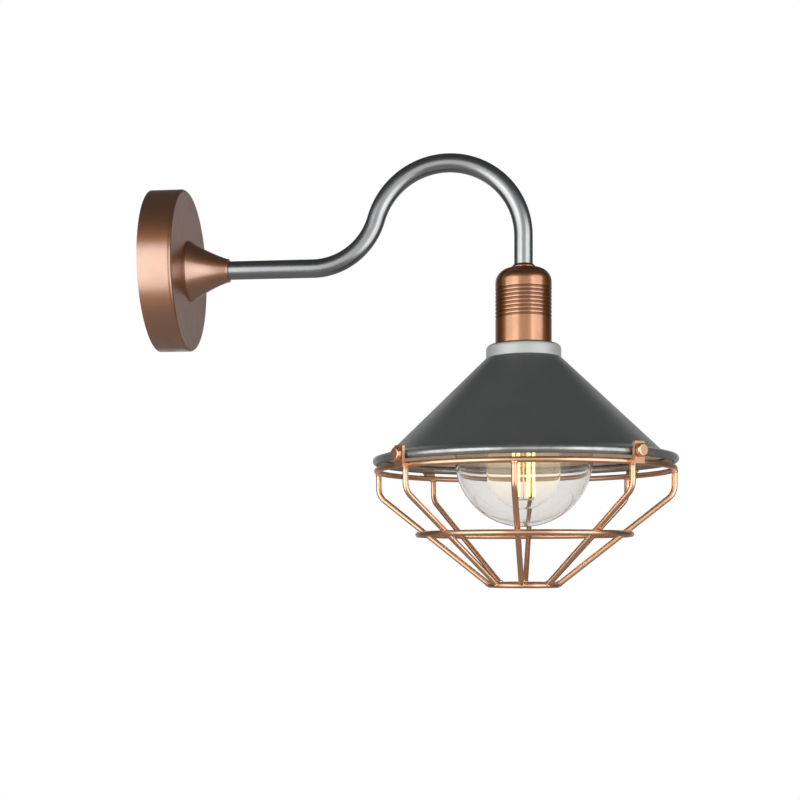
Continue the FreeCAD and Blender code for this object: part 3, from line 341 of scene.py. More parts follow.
def bronze(name, upright, edge, dull, coat_rough, coat_bend):
    finish = Finish(name, BRONZE, 1.0, dull, Coat_Weight=1.0, Coat_Roughness=coat_rough,
                    Coat_IOR=coat_bend, Specular_Tint=edge)
    clouds = finish.patches(22 * MM)
    dust = finish.patches(1.6 * MM, 0.56, 0.7, 1.0)
    lines = lathe_lines(finish, 0.9 * MM, upright)
    colour = finish.tint(clouds, CLOUD_TINT)
    colour = finish.blend(dust * 0.10, colour, DUST)
    roughness = dull + clouds * 0.04 + lines * 0.05
    if upright:
        grooves, ridges = groove_masks(finish)
        # Painted shade in the grooves, partly pooled lacquer, and a painted highlight on the ridges.
        colour = finish.blend(grooves * 0.65, colour, GROOVE_SHADE_AND_POOL)
        colour = finish.blend(ridges * 0.2, colour, RIDGE_HIGHLIGHT)
        roughness = roughness + grooves * 0.12 - ridges * 0.08
        finish.wire("Coat Weight", 1 - grooves * 0.6)
    finish.wire("Base Color", colour)
    finish.wire("Roughness", roughness)
    finish.raise_by(lines, 0.008 * MM)
    finish.raise_by(finish.grain(1.3 * MM, 1.0), 0.010 * MM)
    return finish.material


bronze_about_arm = bronze(
    "BronzeAboutArm", upright=False, edge=WHITE_EDGE, dull=0.42, coat_rough=0.24, coat_bend=2.5)
bronze_upright = bronze(
    "BronzeUpright", upright=True, edge=WARM_EDGE, dull=0.33, coat_rough=0.16, coat_bend=1.88)
print("bronze", BRONZE, "pooled", GROOVE_SHADE_AND_POOL, "rubbed", RIDGE_HIGHLIGHT)

# %% [markdown]
# ## Copper wire
# The cage is steel wire with a bright copper plating under clear lacquer. The wire was drawn
# through a die, so it has faint lengthwise lines, and the plating is darker and pinker where a
# weld has heated it: close to the three rings. The clips and their screws have no weld.

# %% Copper
COPPER = (0.88, 0.48, 0.235)
HEATED = (0.50, 0.24, 0.16)
HEAT_REACH = 5 * MM


def copper(name, heated):
    finish = Finish(name, COPPER, 1.0, 0.26, Coat_Weight=1.0, Coat_Roughness=0.25, Coat_IOR=2.3,
                    Specular_Tint=WARM_EDGE)
    height = finish.part("Z")
    clouds = finish.patches(18 * MM, 0.4, 0.65, 1.0)
    colour = finish.tint(clouds, (0.92, 0.88, 0.85))
    if heated:
        heat = finish.near(height, top_ring_z - wire_radius, HEAT_REACH)
        for weld_z in (mid_ring_z, low_ring_z):
            heat = heat + finish.near(height, weld_z, HEAT_REACH)
        colour = finish.blend(heat * 0.25, colour, HEATED)
    finish.wire("Base Color", colour)
    drawn = finish.grain(8 * MM, 0.0, (1, 1, 0.2))
    finish.wire("Roughness", 0.34 + drawn * 0.04 + clouds * 0.04)
    finish.raise_by(drawn, 0.003 * MM)
    return finish.material


copper_wire = copper("CopperWire", heated=True)
copper_parts = copper("CopperParts", heated=False)
print("copper", COPPER, "heated", HEATED)

# %% [markdown]
# ## Satin nickel, zinc and brass
# The arm is a polished steel tube with a satin nickel finish. Nuts, washers and the strap are
# zinc plated: duller, with a cloudy grain. Screws that carry current are plain brass. The fitter
# and the bulb's cap are spun from aluminium, so they show turning lines.

# %% Other metals
def satin_nickel():
    finish = Finish("SatinNickel", (0.39, 0.405, 0.41), 1.0, 0.28)
    brushed = finish.grain(4 * MM)
    clouds = finish.patches(30 * MM)
    finish.wire("Base Color", finish.tint(clouds, (0.94, 0.94, 0.95)))
    finish.wire("Roughness", 0.27 + brushed * 0.03 + clouds * 0.02)
    finish.raise_by(brushed, 0.0006 * MM)
    return finish.material


def zinc():
    finish = Finish("ZincPlate", (0.60, 0.60, 0.58), 1.0, 0.38)
    clouds = finish.patches(6 * MM)
    finish.wire("Base Color", finish.tint(clouds, (0.82, 0.84, 0.90)))
    finish.wire("Roughness", 0.34 + clouds * 0.16)
    finish.raise_by(finish.grain(0.8 * MM), 0.02 * MM)
    return finish.material


def brass():
    finish = Finish("Brass", (0.70, 0.50, 0.21), 1.0, 0.28)
    tarnish = finish.patches(4 * MM)
    finish.wire("Base Color", finish.tint(tarnish, (0.72, 0.66, 0.55)))
    finish.wire("Roughness", 0.24 + tarnish * 0.18)
    return finish.material


def aluminium(name, size, roughness):
    finish = Finish(name, (0.66, 0.67, 0.68), 1.0, roughness)
    lines = lathe_lines(finish, size)
    clouds = finish.patches(10 * MM)
    finish.wire("Base Color", finish.tint(clouds, (0.88, 0.88, 0.90)))
    finish.wire("Roughness", roughness - 0.05 + lines * 0.12)
    finish.raise_by(lines, 0.015 * MM)
    return finish.material


nickel_tube = satin_nickel()
zinc_plate = zinc()
plain_brass = brass()
spun_aluminium = aluminium("SpunAluminium", 0.7 * MM, 0.36)
cap_aluminium = aluminium("CapAluminium", 0.5 * MM, 0.22)
metals = (nickel_tube, zinc_plate, plain_brass, spun_aluminium, cap_aluminium)
print([metal.name for metal in metals])

# %% [markdown]
# ## The shade's paint
# The shade is spun steel in a satin gunmetal paint with a little metal flake. The band of its
# neck is left in a pale satin grey. Its inside is a lighter grey enamel with a warm tint that is
# painted light from the bulb. The rolled rim is painted lighter all round as a painted highlight,
# more so in worn patches. One material holds all four, and masks made from height and radius
# say where each one is. The inside is what lies about half a wall or more below the outer skin,
# which two straight lines describe: the cone and the brow at its foot.

# %% Shade paint
GUNMETAL = (0.22, 0.236, 0.230)
NECK_GREY = (0.50, 0.52, 0.51)
INSIDE_ENAMEL_AND_BULB_WARMTH = (0.46, 0.37, 0.31)
NECK_FOOT = -82.3 * MM
NECK_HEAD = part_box("shade")[1].z - 1.9 * MM
RIM_RADIUS = 3.5 * MM
CONE_TOP = (32.2 * MM, -81.8 * MM)
CONE_FOOT = (116.3 * MM, -163.8 * MM)
BROW_END = (126.5 * MM, -167.0 * MM)
RIM_INSIDE = 122.6 * MM
RIM_INSIDE_FADE = 0.3 * MM
NECK_FOOT_FADE = 0.5 * MM
NECK_HEAD_FADE = 0.6 * MM
RIM_REACH = 4.5 * MM
RIM_START = (121 * MM, 123 * MM)
INSIDE_EDGE = (0.45 * MM, 0.75 * MM)
RIM_HIGHLIGHT_GREY = (0.55, 0.55, 0.54)
FLAKE = (0.27, 0.28, 0.278)


def line_height(start, end, out):
    """Height of the straight line from start to end, both (radius, height), at radius out."""
    return start[1] + (out - start[0]) * ((end[1] - start[1]) / (end[0] - start[0]))


def shade_paint():
    finish = Finish("GunmetalPaint", GUNMETAL, 0.8, 0.34, Coat_Weight=0.35, Coat_Roughness=0.3)
    height = finish.part("Z")
    spot = lathe_spot(finish)
    out = finish.node("ShaderNodeSeparateXYZ", {}, {0: spot}, "X")
    cone = line_height(CONE_TOP, CONE_FOOT, out)
    brow = line_height(CONE_FOOT, BROW_END, out)
    skin = cone.sum("MAXIMUM", cone, brow)
    inside = finish.step(skin - height, *INSIDE_EDGE)
    inside = inside * (1 - finish.step(out, RIM_INSIDE, RIM_INSIDE + RIM_INSIDE_FADE))
    neck = finish.step(height, NECK_FOOT, NECK_FOOT + NECK_FOOT_FADE)
    neck = neck * (1 - finish.step(height, NECK_HEAD, NECK_HEAD + NECK_HEAD_FADE))
    lines = finish.grain(2.2 * MM, where=spot)
    clouds = finish.patches(30 * MM)
    flake = finish.patches(0.6 * MM, 0.55, 0.7, 1.0)
    rim_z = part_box("shade")[0].z + RIM_RADIUS
    rim = finish.near(height, rim_z, RIM_REACH) * finish.step(out, *RIM_START)
    rubbed = rim * finish.patches(9 * MM, 0.3, 0.7)
    colour = finish.tint(clouds, (0.94, 0.94, 0.95))
    colour = finish.blend(flake * 0.12, colour, FLAKE)
    # Painted highlight: the rim band is lighter all round, and more so in worn patches.
    colour = finish.blend(rim * 0.35 + rubbed * 0.3, colour, RIM_HIGHLIGHT_GREY)
    # Lighter enamel inside, tinted warm as painted light from the bulb.
    colour = finish.blend(inside, colour, INSIDE_ENAMEL_AND_BULB_WARMTH)
    colour = finish.blend(neck, colour, NECK_GREY)
    finish.wire("Base Color", colour)
    finish.wire("Metallic", 0.8 - inside * 0.8 - neck * 0.35 * (1 - inside))
    finish.wire("Roughness", 0.31 + lines * 0.07 + clouds * 0.04 + neck * 0.2 - rim * 0.08)
    finish.raise_by(lines, 0.012 * MM)
    finish.raise_by(finish.grain(1 * MM, 1.0), 0.012 * MM)
    return finish.material


gunmetal_paint = shade_paint()
print("gunmetal", GUNMETAL, "neck", NECK_GREY, "inside", INSIDE_ENAMEL_AND_BULB_WARMTH)

# %% [markdown]
# ## Ceramic, rubber and plastics
# The lampholder is glazed white ceramic: the glaze pools and is glossier in places. The gasket is
# soft black rubber. The block, the sheath and the insulation are matt plastics with a fine grain.

# %% Ceramic, rubber, plastics
STRIPE_EDGE = (0.25 * MM, 0.35 * MM)


def ceramic():
    finish = Finish("GlazedCeramic", (0.80, 0.79, 0.75), 0.0, 0.2, Coat_Weight=0.6, Coat_Roughness=0.08)
    pooled = finish.patches(8 * MM)
    specks = finish.patches(0.6 * MM, 0.66, 0.74, 1.0)
    colour = finish.tint(pooled, (0.95, 0.94, 0.91))
    finish.wire("Base Color", finish.blend(specks * 0.5, colour, (0.45, 0.40, 0.33)))
    finish.wire("Roughness", 0.14 + pooled * 0.12)
    finish.raise_by(finish.grain(4 * MM), 0.05 * MM)
    return finish.material


def plastic(name, colour, roughness=0.5, size=0.6 * MM):
    finish = Finish(name, colour, 0.0, roughness)
    grime = finish.patches(7 * MM)
    finish.wire("Base Color", finish.tint(grime, (0.86, 0.85, 0.83)))
    finish.wire("Roughness", roughness - 0.08 + grime * 0.16)
    finish.raise_by(finish.grain(size), 0.02 * MM)
    return finish.material


def earth_insulation():
    """Green with a yellow stripe along the lead."""
    finish = Finish("EarthLead", (0.10, 0.30, 0.045), 0.0, 0.45)
    stripe = finish.step(finish.part("Y"), *STRIPE_EDGE)
    worn = finish.patches(4 * MM)
    colour = finish.blend(stripe, finish.tint(worn, (0.85, 0.85, 0.85)), (0.72, 0.60, 0.05))
    finish.wire("Base Color", colour)
    finish.wire("Roughness", 0.38 + worn * 0.14)
    return finish.material


glazed_ceramic = ceramic()
black_rubber = plastic("BlackRubber", (0.035, 0.035, 0.036), 0.62, 1 * MM)
block_plastic = plastic("BlockPlastic", (0.74, 0.73, 0.68))
white_sheath = plastic("WhiteSheath", (0.72, 0.72, 0.69), 0.46)
brown_lead = plastic("BrownLead", (0.16, 0.065, 0.03), 0.42)
blue_lead = plastic("BlueLead", (0.03, 0.11, 0.42), 0.42)
pale_lead = plastic("PaleLead", (0.66, 0.63, 0.56))
green_lead = earth_insulation()
print([lead.name for lead in (brown_lead, blue_lead, pale_lead, green_lead)])

# %% [markdown]
# ## Glass that lets lamps through
# Real glass bends light, and a renderer that bends light can't find a small lamp behind it. So
# rays that look for a lamp pass through a Transparent shader, and all other rays meet real glass.
# Both have a lower IOR than solid glass, which keeps the outlines of their thin walls quiet.

# %% Glass
def glass(name, colour, roughness, ripple, ripple_size, bend):
    finish = Finish(name, colour, 0.0, roughness, Transmission_Weight=1.0, IOR=bend)
    smudge = finish.patches(16 * MM)
    finish.wire("Roughness", roughness + smudge * 0.03)
    finish.raise_by(finish.grain(ripple_size, 1.0), ripple)
    real = Wire(finish, finish.shader.outputs[0])
    clear = finish.node("ShaderNodeBsdfTransparent", {}, {"Color": (*colour, 1)})
    to_lamp = finish.node("ShaderNodeLightPath", {}, {}, "Is Shadow Ray")
    finish.surface(finish.node("ShaderNodeMixShader", {}, {0: to_lamp, 1: real, 2: clear}))
    return finish


bowl = glass("BowlGlass", (0.90, 0.89, 0.875), roughness=0.03, ripple=0.10 * MM,
             ripple_size=20 * MM, bend=1.35)
bowl_glass = bowl.material
print(bowl_glass.name, "has an IOR of", round(bowl.shader.inputs["IOR"].default_value, 2))

# %% [markdown]
# The bulb's thin glass carries a faint warm painted glow: it gives out light though it is no
# lamp, in place of the haze of light round the rods. It's strongest at the rods' middle and gone at
# the crown.

# %% Bulb's glass
BULB_PAINTED_GLOW = 0.07
PAINTED_GLOW_REACH = 36 * MM

warm = glass("BulbGlass", (1.0, 0.985, 0.96), roughness=0.0, ripple=0.03 * MM,
             ripple_size=12 * MM, bend=1.05)
# Painted glow: emission on the glass stands for the haze of light round the rods.
painted_glow = warm.near(warm.part("Z"), middle("bulb_filaments").z, PAINTED_GLOW_REACH)
warm.wire("Emission Color", warm.blend(painted_glow, (0, 0, 0), (1.0, 0.80, 0.46)))
warm.wire("Emission Strength", BULB_PAINTED_GLOW)
warm.material.cycles.emission_sampling = "NONE"
bulb_glass = warm.material
print(bulb_glass.name, "shines at", BULB_PAINTED_GLOW)

# %% [markdown]
# ## Glowing rods
# Each rod in the bulb is a strip of tiny lamps under a yellow coating. The coating glows a
# little unevenly, brighter at the middle of each tiny lamp than between two of them.

# %% Glow
GLOW_STRENGTH = 2.2


def glow():
    finish = Finish("FilamentGlow", (0.95, 0.70, 0.25), 0.0, 0.5)
    lumps = finish.grain(1.2 * MM, 1.0, (0.2, 0.2, 1))
    colour = finish.blend(lumps, (1.0, 0.62, 0.16), (1.0, 0.80, 0.36))
    finish.wire("Emission Color", colour)
    finish.wire("Emission Strength", GLOW_STRENGTH)
    return finish.material


filament_glow = glow()
print("the rods glow at", GLOW_STRENGTH)

# %% [markdown]
# ## Give the built pieces their finish
# A piece of the frame keeps its shape. Only its material slots are filled.

# %% Finishes for the frame's pieces
FINISHES = {
    "bronze_finish": bronze_upright, "copper_wire": copper_wire, "arm_steel": nickel_tube,
    "shade_grey": gunmetal_paint, "zinc_steel": zinc_plate, "brass_fittings": plain_brass,
    "fitter_metal": spun_aluminium, "holder_ceramic": glazed_ceramic,
    "gasket_rubber": black_rubber, "bowl_glass": bowl_glass, "lamp_glass": bulb_glass,
    "cap_metal": cap_aluminium, "filament_glow": filament_glow, "filament_wire": zinc_plate,
    "block_plastic": block_plastic, "flex_sheath": white_sheath, "lead_brown": brown_lead,
    "lead_blue": blue_lead, "lead_green": green_lead, "lead_pair": pale_lead,
}
OWN_FINISH = {"wall_canopy": bronze_about_arm, "arm_cone": bronze_about_arm, "cage_clips": copper_parts}
OWN_FINISH.update({f"thumb_screw_{number}": copper_parts for number in range(1, 5)})


def paint(piece, material):
    piece.data.materials.clear()
    piece.data.materials.append(material)


for part in frame["record"]["subparts"]:
    name = part["node"]
    paint(nodes[name], OWN_FINISH.get(name, FINISHES[part["material_slot"]]))

# %% [markdown]
# ## Modelling helpers
# Operators act on what is selected, so each step starts by selecting nothing. `pick` then selects
# the faces or edges that pass a test on their middle.

# %% Select and pick
def deselect():
    if bpy.context.mode != "OBJECT":
        bpy.ops.object.mode_set(mode="OBJECT")
    bpy.ops.object.select_all(action="DESELECT")


def edit(piece):
    deselect()
    piece.select_set(True)
    bpy.context.view_layer.objects.active = piece
    bpy.ops.object.mode_set(mode="EDIT")


def pick(piece, kind, test):
    """Select only the faces or edges of the edited piece that pass the test."""
    mesh = bmesh.from_edit_mesh(piece.data)
    for group in (mesh.faces, mesh.edges, mesh.verts):
        for item in group:
            item.select = False
    for item in getattr(mesh, kind):
        spot = sum((vert.co for vert in item.verts), Vector()) / len(item.verts)
        if test(item, spot):
            item.select_set(True)
    bmesh.update_edit_mesh(piece.data)


deselect()
print("selected now:", len(bpy.context.selected_objects))

# %% [markdown]
# A finished piece keeps its place in its mesh, and its object stands at the origin. Then a
# pattern that reads Object coordinates measures from the lamp's own origin, as it does on the
# built pieces. The piece also hangs on the body it moves with, and the built pieces it stands for
# are hidden.

# %% Finish a piece
SMOOTH_BELOW = math.radians(40)


def finish_piece(piece, name, body, slot, material, *replaced):
    """Apply what is left on the piece, put its place into its mesh and hang it on its body."""
    deselect()
    piece.select_set(True)
    bpy.context.view_layer.objects.active = piece
    for modifier in list(piece.modifiers):
        bpy.ops.object.modifier_apply(modifier=modifier.name)
    bpy.ops.object.transform_apply(location=True, rotation=True, scale=True)
    bpy.ops.object.shade_smooth_by_angle(angle=SMOOTH_BELOW)
    piece.name = name
    if material:
        paint(piece, material)
    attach(piece, body)
    if replaced:
        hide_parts(*replaced)


# %% [markdown]
# ## A round vessel, ring by ring
# Blown glass is a surface turned about an upright axis. It starts as one circle at the rim. Each
# ring below it is an extrusion that is moved down and scaled, and the last one is merged to a
# point. Solidify then gives the wall its thickness, and a Subdivision Surface rounds the rim.

# %% Build a vessel from stations
def vessel(stations, segments=64):
    """Extrude a circle through (radius, height) stations. A last radius of 0 closes the end."""
    out, height = stations[0]
    deselect()
    bpy.ops.mesh.primitive_circle_add(vertices=segments, radius=out, location=(axis_x, 0, height))
    piece = bpy.context.active_object
    bpy.ops.object.transform_apply(location=True)
    bpy.ops.object.mode_set(mode="EDIT")
    bpy.ops.mesh.select_all(action="SELECT")
    for next_out, next_height in stations[1:]:
        bpy.ops.mesh.extrude_region_move(
            TRANSFORM_OT_translate={"value": (0, 0, next_height - height)})
        if next_out == 0:
            bpy.ops.mesh.merge(type="CENTER")
            break
        scale = next_out / out
        bpy.ops.transform.resize(value=(scale, scale, 1), center_override=(axis_x, 0, next_height))
        out, height = next_out, next_height
    bpy.ops.mesh.select_all(action="SELECT")
    bpy.ops.mesh.normals_make_consistent(inside=False)
    bpy.ops.object.mode_set(mode="OBJECT")
    return piece


print("vessels turn about x =", round(axis_x / MM), "mm")

# %% [markdown]
# The wall is grown inwards, so the outer size stays what the stations say. Even thickness keeps
# the wall as thick on the slopes as on the straight part.

# %% Give a vessel its wall
WALL_LEVELS = 2


def give_wall(piece, thickness):
    wall = piece.modifiers.new("Wall", "SOLIDIFY")
    wall.thickness = thickness
    wall.offset = -1
    wall.use_even_offset = True
    smooth = piece.modifiers.new("Smooth", "SUBSURF")
    smooth.levels = WALL_LEVELS
    smooth.render_levels = WALL_LEVELS


print("walls are rounded by", WALL_LEVELS, "levels")

# %% [markdown]
# ## The glass bowl
# The bowl has a straight neck that the fitter grips, a short shoulder, a straight wall and a half
# round bottom. Its outer size comes from the frame, the neck and the shoulder are its own sizes.
# Extra stations beside the rim and the shoulder's ends keep Subdivision Surface from rounding them
# away.

# %% Bowl
BOWL_NECK_RADIUS = 43.2 * MM
BOWL_NECK_HEIGHT = 13 * MM
BOWL_SHOULDER_HEIGHT = 13 * MM
BOWL_WALL = 2 * MM
RIM_EDGE = 1.5 * MM
ABOVE_SHOULDER = 2 * MM
BELOW_SHOULDER = 3 * MM
SHOULDER_STEPS = 6
BOTTOM_STEPS = 12

bowl_low, bowl_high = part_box("glass_bowl")
bowl_radius = radius("glass_bowl")
shoulder_top = bowl_high.z - BOWL_NECK_HEIGHT
shoulder_foot = shoulder_top - BOWL_SHOULDER_HEIGHT
ball_centre = bowl_low.z + bowl_radius

stations = [(BOWL_NECK_RADIUS, bowl_high.z), (BOWL_NECK_RADIUS, bowl_high.z - RIM_EDGE)]
stations += [(BOWL_NECK_RADIUS, shoulder_top + ABOVE_SHOULDER)]
for step in range(1, SHOULDER_STEPS):
    share = step / SHOULDER_STEPS
    ease = (1 - math.cos(math.pi * share)) / 2
    across = BOWL_NECK_RADIUS + (bowl_radius - BOWL_NECK_RADIUS) * ease
    stations.append((across, shoulder_top + (shoulder_foot - shoulder_top) * share))
stations += [(bowl_radius, shoulder_foot - BELOW_SHOULDER), (bowl_radius, ball_centre)]
for step in range(1, BOTTOM_STEPS):
    angle = math.pi / 2 * step / BOTTOM_STEPS
    stations.append((bowl_radius * math.cos(angle), ball_centre - bowl_radius * math.sin(angle)))
stations.append((0, bowl_low.z))

blown = vessel(stations)
give_wall(blown, BOWL_WALL)
finish_piece(blown, "blown_bowl", "glass", "bowl_glass", bowl_glass, "glass_bowl")
print("bowl", len(stations), "stations,", len(blown.data.polygons), "faces")

# %% [markdown]
# ## The bulb's glass
# The bulb is a long drop: a narrow neck in the cap, sides that swell in one long arc, and a
# rounded crown. The two arcs are worked out from three radii and heights.

# %% Bulb glass
BULB_NECK_RADIUS = 12.5 * MM
BULB_CROWN_HEIGHT = 34 * MM
BULB_WALL = 0.9 * MM
FLANK_STEPS = 14
CROWN_STEPS = 12

bulb_low, bulb_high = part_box("bulb_glass")
bulb_radius = radius("bulb_glass")
widest = bulb_low.z + BULB_CROWN_HEIGHT
swell = bulb_radius - BULB_NECK_RADIUS
rise = bulb_high.z - widest
flank = (swell ** 2 + rise ** 2) / (2 * swell)
crown = (bulb_radius ** 2 + BULB_CROWN_HEIGHT ** 2) / (2 * BULB_CROWN_HEIGHT)

stations = []
for step in range(FLANK_STEPS + 1):
    up = rise * (1 - step / FLANK_STEPS)
    stations.append((bulb_radius - flank + math.sqrt(flank ** 2 - up ** 2), widest + up))
crown_angle = math.asin(min(bulb_radius / crown, 1))
for step in range(1, CROWN_STEPS):
    angle = crown_angle * (1 - step / CROWN_STEPS)
    stations.append((crown * math.sin(angle), bulb_low.z + crown - crown * math.cos(angle)))
stations.append((0, bulb_low.z))

envelope = vessel(stations, segments=48)
give_wall(envelope, BULB_WALL)
finish_piece(envelope, "bulb_envelope", "bulb", "lamp_glass", bulb_glass, "bulb_glass")
print("bulb", len(envelope.data.polygons), "faces")

# %% [markdown]
# ## The glowing rods
# One rod is a thin cylinder whose ends are inset and drawn out into a metal pin. It is modelled
# once, and each of the six stands at its own place on a circle. The rod glows, the pins are zinc.

# %% One rod
ROD_COUNT = 6
ROD_RADIUS = 1.1 * MM
PIN_LENGTH = 1.6 * MM
END_BEVEL = 0.2 * MM
PIN_INSET = 0.45 * MM
PIN_TOUCH = 0.1 * MM
NEAR_AXIS = 0.05 * MM
FACES_ALONG_Z = 0.9

rods_low, rods_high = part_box("bulb_filaments")
rod_circle = (rods_high.x - rods_low.x) / 2 - ROD_RADIUS
rod_middle = (rods_low.z + rods_high.z) / 2
glow_half = (rods_high.z - rods_low.z) / 2 - PIN_LENGTH

deselect()
bpy.ops.mesh.primitive_cylinder_add(
    vertices=16, radius=ROD_RADIUS, depth=2 * glow_half, location=(0, 0, rod_middle),
    end_fill_type="NGON")
rod = bpy.context.active_object
bpy.ops.object.transform_apply(location=True)
edit(rod)
pick(rod, "faces", lambda face, spot: abs(face.normal.z) > FACES_ALONG_Z)
bpy.ops.mesh.bevel(offset=END_BEVEL, segments=2, affect="EDGES")
pick(rod, "faces", lambda face, spot: abs(face.normal.z) > FACES_ALONG_Z)
bpy.ops.mesh.inset(thickness=PIN_INSET, use_individual=True)
for side in (-1, 1):
    pick(rod, "faces", lambda face, spot: (
        face.normal.z * side > FACES_ALONG_Z and spot.xy.length < NEAR_AXIS))
    bpy.ops.mesh.extrude_region_move(TRANSFORM_OT_translate={"value": (0, 0, side * PIN_LENGTH)})
bpy.ops.object.mode_set(mode="OBJECT")
rod.data.materials.append(filament_glow)
rod.data.materials.append(zinc_plate)
for face in rod.data.polygons:
    face.material_index = int(abs(face.center.z - rod_middle) > glow_half - PIN_TOUCH)
print("one rod,", len(rod.data.polygons), "faces")

# %% [markdown]
# The six rods stand on a circle about the bulb's stem, joined end to end by their pins. Each copy
# gets a mesh of its own, because its place is written into the mesh.

# %% Six rods on their circle
for number in range(ROD_COUNT):
    angle = 2 * math.pi * number / ROD_COUNT
    copy = rod.copy()
    copy.data = rod.data.copy()
    bpy.context.scene.collection.objects.link(copy)
    copy.location = (axis_x + rod_circle * math.cos(angle), rod_circle * math.sin(angle), 0)
    finish_piece(copy, f"filament_{number + 1}", "bulb", "filament_glow", None, "bulb_filaments")
bpy.data.objects.remove(rod)
print(ROD_COUNT, "rods on a circle of", round(2 * rod_circle / MM, 1), "mm")

# %% [markdown]
# ## Weld beads
# Each crossing of the cage is a resistance weld, which squeezes out a low ring of metal round
# the joint. One bead is a small ball, flattened and waisted. Copies go to every crossing, are
# turned to the wire's direction there and are joined, ring by ring.

# %% One bead
BEAD_RADIUS = 1.3 * wire_radius
BEAD_FLATNESS = 0.62
BEAD_WAIST = 0.94
WAIST_BAND = 0.2 * MM


def weld_bead():
    deselect()
    bpy.ops.mesh.primitive_uv_sphere_add(segments=16, ring_count=10, radius=BEAD_RADIUS)
    bead = bpy.context.active_object
    edit(bead)
    bpy.ops.mesh.select_all(action="SELECT")
    bpy.ops.transform.resize(value=(1, 1, BEAD_FLATNESS), center_override=(0, 0, 0))
    pick(bead, "edges", lambda edge, spot: abs(spot.z) < WAIST_BAND)
    bpy.ops.transform.resize(value=(BEAD_WAIST, BEAD_WAIST, 1), center_override=(0, 0, 0))
    bpy.ops.object.mode_set(mode="OBJECT")
    return bead


print("a bead is", round(2 * BEAD_RADIUS / MM, 1), "mm wide")

# %% [markdown]
# Eight wires cross each ring. The pattern bead is copied, each copy is turned and moved to its
# crossing inside its own mesh, and one join makes a ring of beads a single piece.

# %% A ring of beads
WIRE_COUNT = 8
FIRST_WIRE = math.radians(-95)


def place_beads(name, out, height, lean):
    """A bead at each wire, at radius out, tipped by lean towards the axis."""
    pattern = weld_bead()
    beads = []
    for number in range(WIRE_COUNT):
        angle = FIRST_WIRE + 2 * math.pi * number / WIRE_COUNT
        bead = pattern.copy()
        bead.data = pattern.data.copy()
        bpy.context.scene.collection.objects.link(bead)
        spot = Matrix.Translation((axis_x + out * math.cos(angle), out * math.sin(angle), height))
        bead.data.transform(spot @ Matrix.Rotation(angle, 4, "Z") @ Matrix.Rotation(lean, 4, "Y"))
        beads.append(bead)
    bpy.data.objects.remove(pattern)
    deselect()
    for bead in beads:
        bead.select_set(True)
    bpy.context.view_layer.objects.active = beads[0]
    bpy.ops.object.join()
    finish_piece(beads[0], name, "cage", "copper_wire", copper_wire)


print(WIRE_COUNT, "wires,", 360 / WIRE_COUNT, "degrees apart")

# %% [markdown]
# The wires run down straight past the top ring and lean inwards past the other two, so the lower
# beads lean with them.

# %% Beads on the three rings
KNEE_TO_LOW_RING = 77.5 * MM
TOP_DROP = 0.85 * wire_radius
MIDDLE_RISE = 0.4 * MM
LOW_OFFSET = 1.2 * MM

lean = math.atan2(top_ring_r - low_ring_r, KNEE_TO_LOW_RING)
wire_at_mid = mid_ring_r - wire_radius / math.cos(lean)
place_beads("weld_beads_top", top_ring_r, top_ring_z - TOP_DROP, 0)
place_beads("weld_beads_middle", wire_at_mid, mid_ring_z + MIDDLE_RISE, lean)
place_beads("weld_beads_low", low_ring_r + LOW_OFFSET, low_ring_z + LOW_OFFSET, lean)
print("the wires lean by", round(math.degrees(lean), 1), "degrees")

# %% [markdown]
# ## The studio
# Metal looks like what stands round it. Two tall soft lamps in front give the cup its two upright
# bands, and a wide one above gives the arm and the shade's shoulder their light edge. Two faint
# ones behind touch the edges that turn away, and none shows through the glass. Grey cards fill the
# rest of what the metal mirrors, as black cloth does in a photographer's tent. Cards show only in
# reflections. The world is white for the camera, for mirrors and through glass.

# %% Lamps
LAMP_TARGET = Vector((axis_x, 0, -0.15))


def aim(thing, target):
    way = Vector(target) - Vector(thing.location)
    thing.rotation_euler = way.to_track_quat("-Z", "Y").to_euler()


def soft_lamp(name, azimuth, elevation, distance, width, height, radiance):
    """A rectangle of light aimed at the shade. Azimuth 0 is in front of it, 90 to the right."""
    around, up = math.radians(azimuth), math.radians(elevation)
    light = bpy.data.lights.new(name, "AREA")
    light.shape = "RECTANGLE"
    light.size = width
    light.size_y = height
    light.energy = radiance * math.pi * width * height
    lamp = bpy.data.objects.new(name, light)
    bpy.context.scene.collection.objects.link(lamp)
    way = Vector((math.sin(around) * math.cos(up), -math.cos(around) * math.cos(up), math.sin(up)))
    lamp.location = LAMP_TARGET + way * distance
    lamp.visible_transmission = False
    aim(lamp, LAMP_TARGET)


soft_lamp("LampLeft", azimuth=-50, elevation=0, distance=1.35, width=1.45, height=1.55, radiance=1.95)
soft_lamp("LampRight", azimuth=54, elevation=0, distance=1.35, width=1.3, height=1.55, radiance=1.95)
soft_lamp("LampAbove", azimuth=0, elevation=80, distance=1.6, width=2.4, height=1.2, radiance=0.35)
for side, name in ((-1, "LampBackLeft"), (1, "LampBackRight")):
    soft_lamp(name, azimuth=160 * side, elevation=8, distance=1.6, width=0.6, height=1.4, radiance=0.35)

# %% [markdown]
# A card is a plain sheet that glows in one grey. Only mirrors see it: it's hidden from the camera,
# lights nothing and throws no shadow.

# %% One card
STAGE_X = 0.2
CARD_TARGET = (STAGE_X, 0, -0.1)


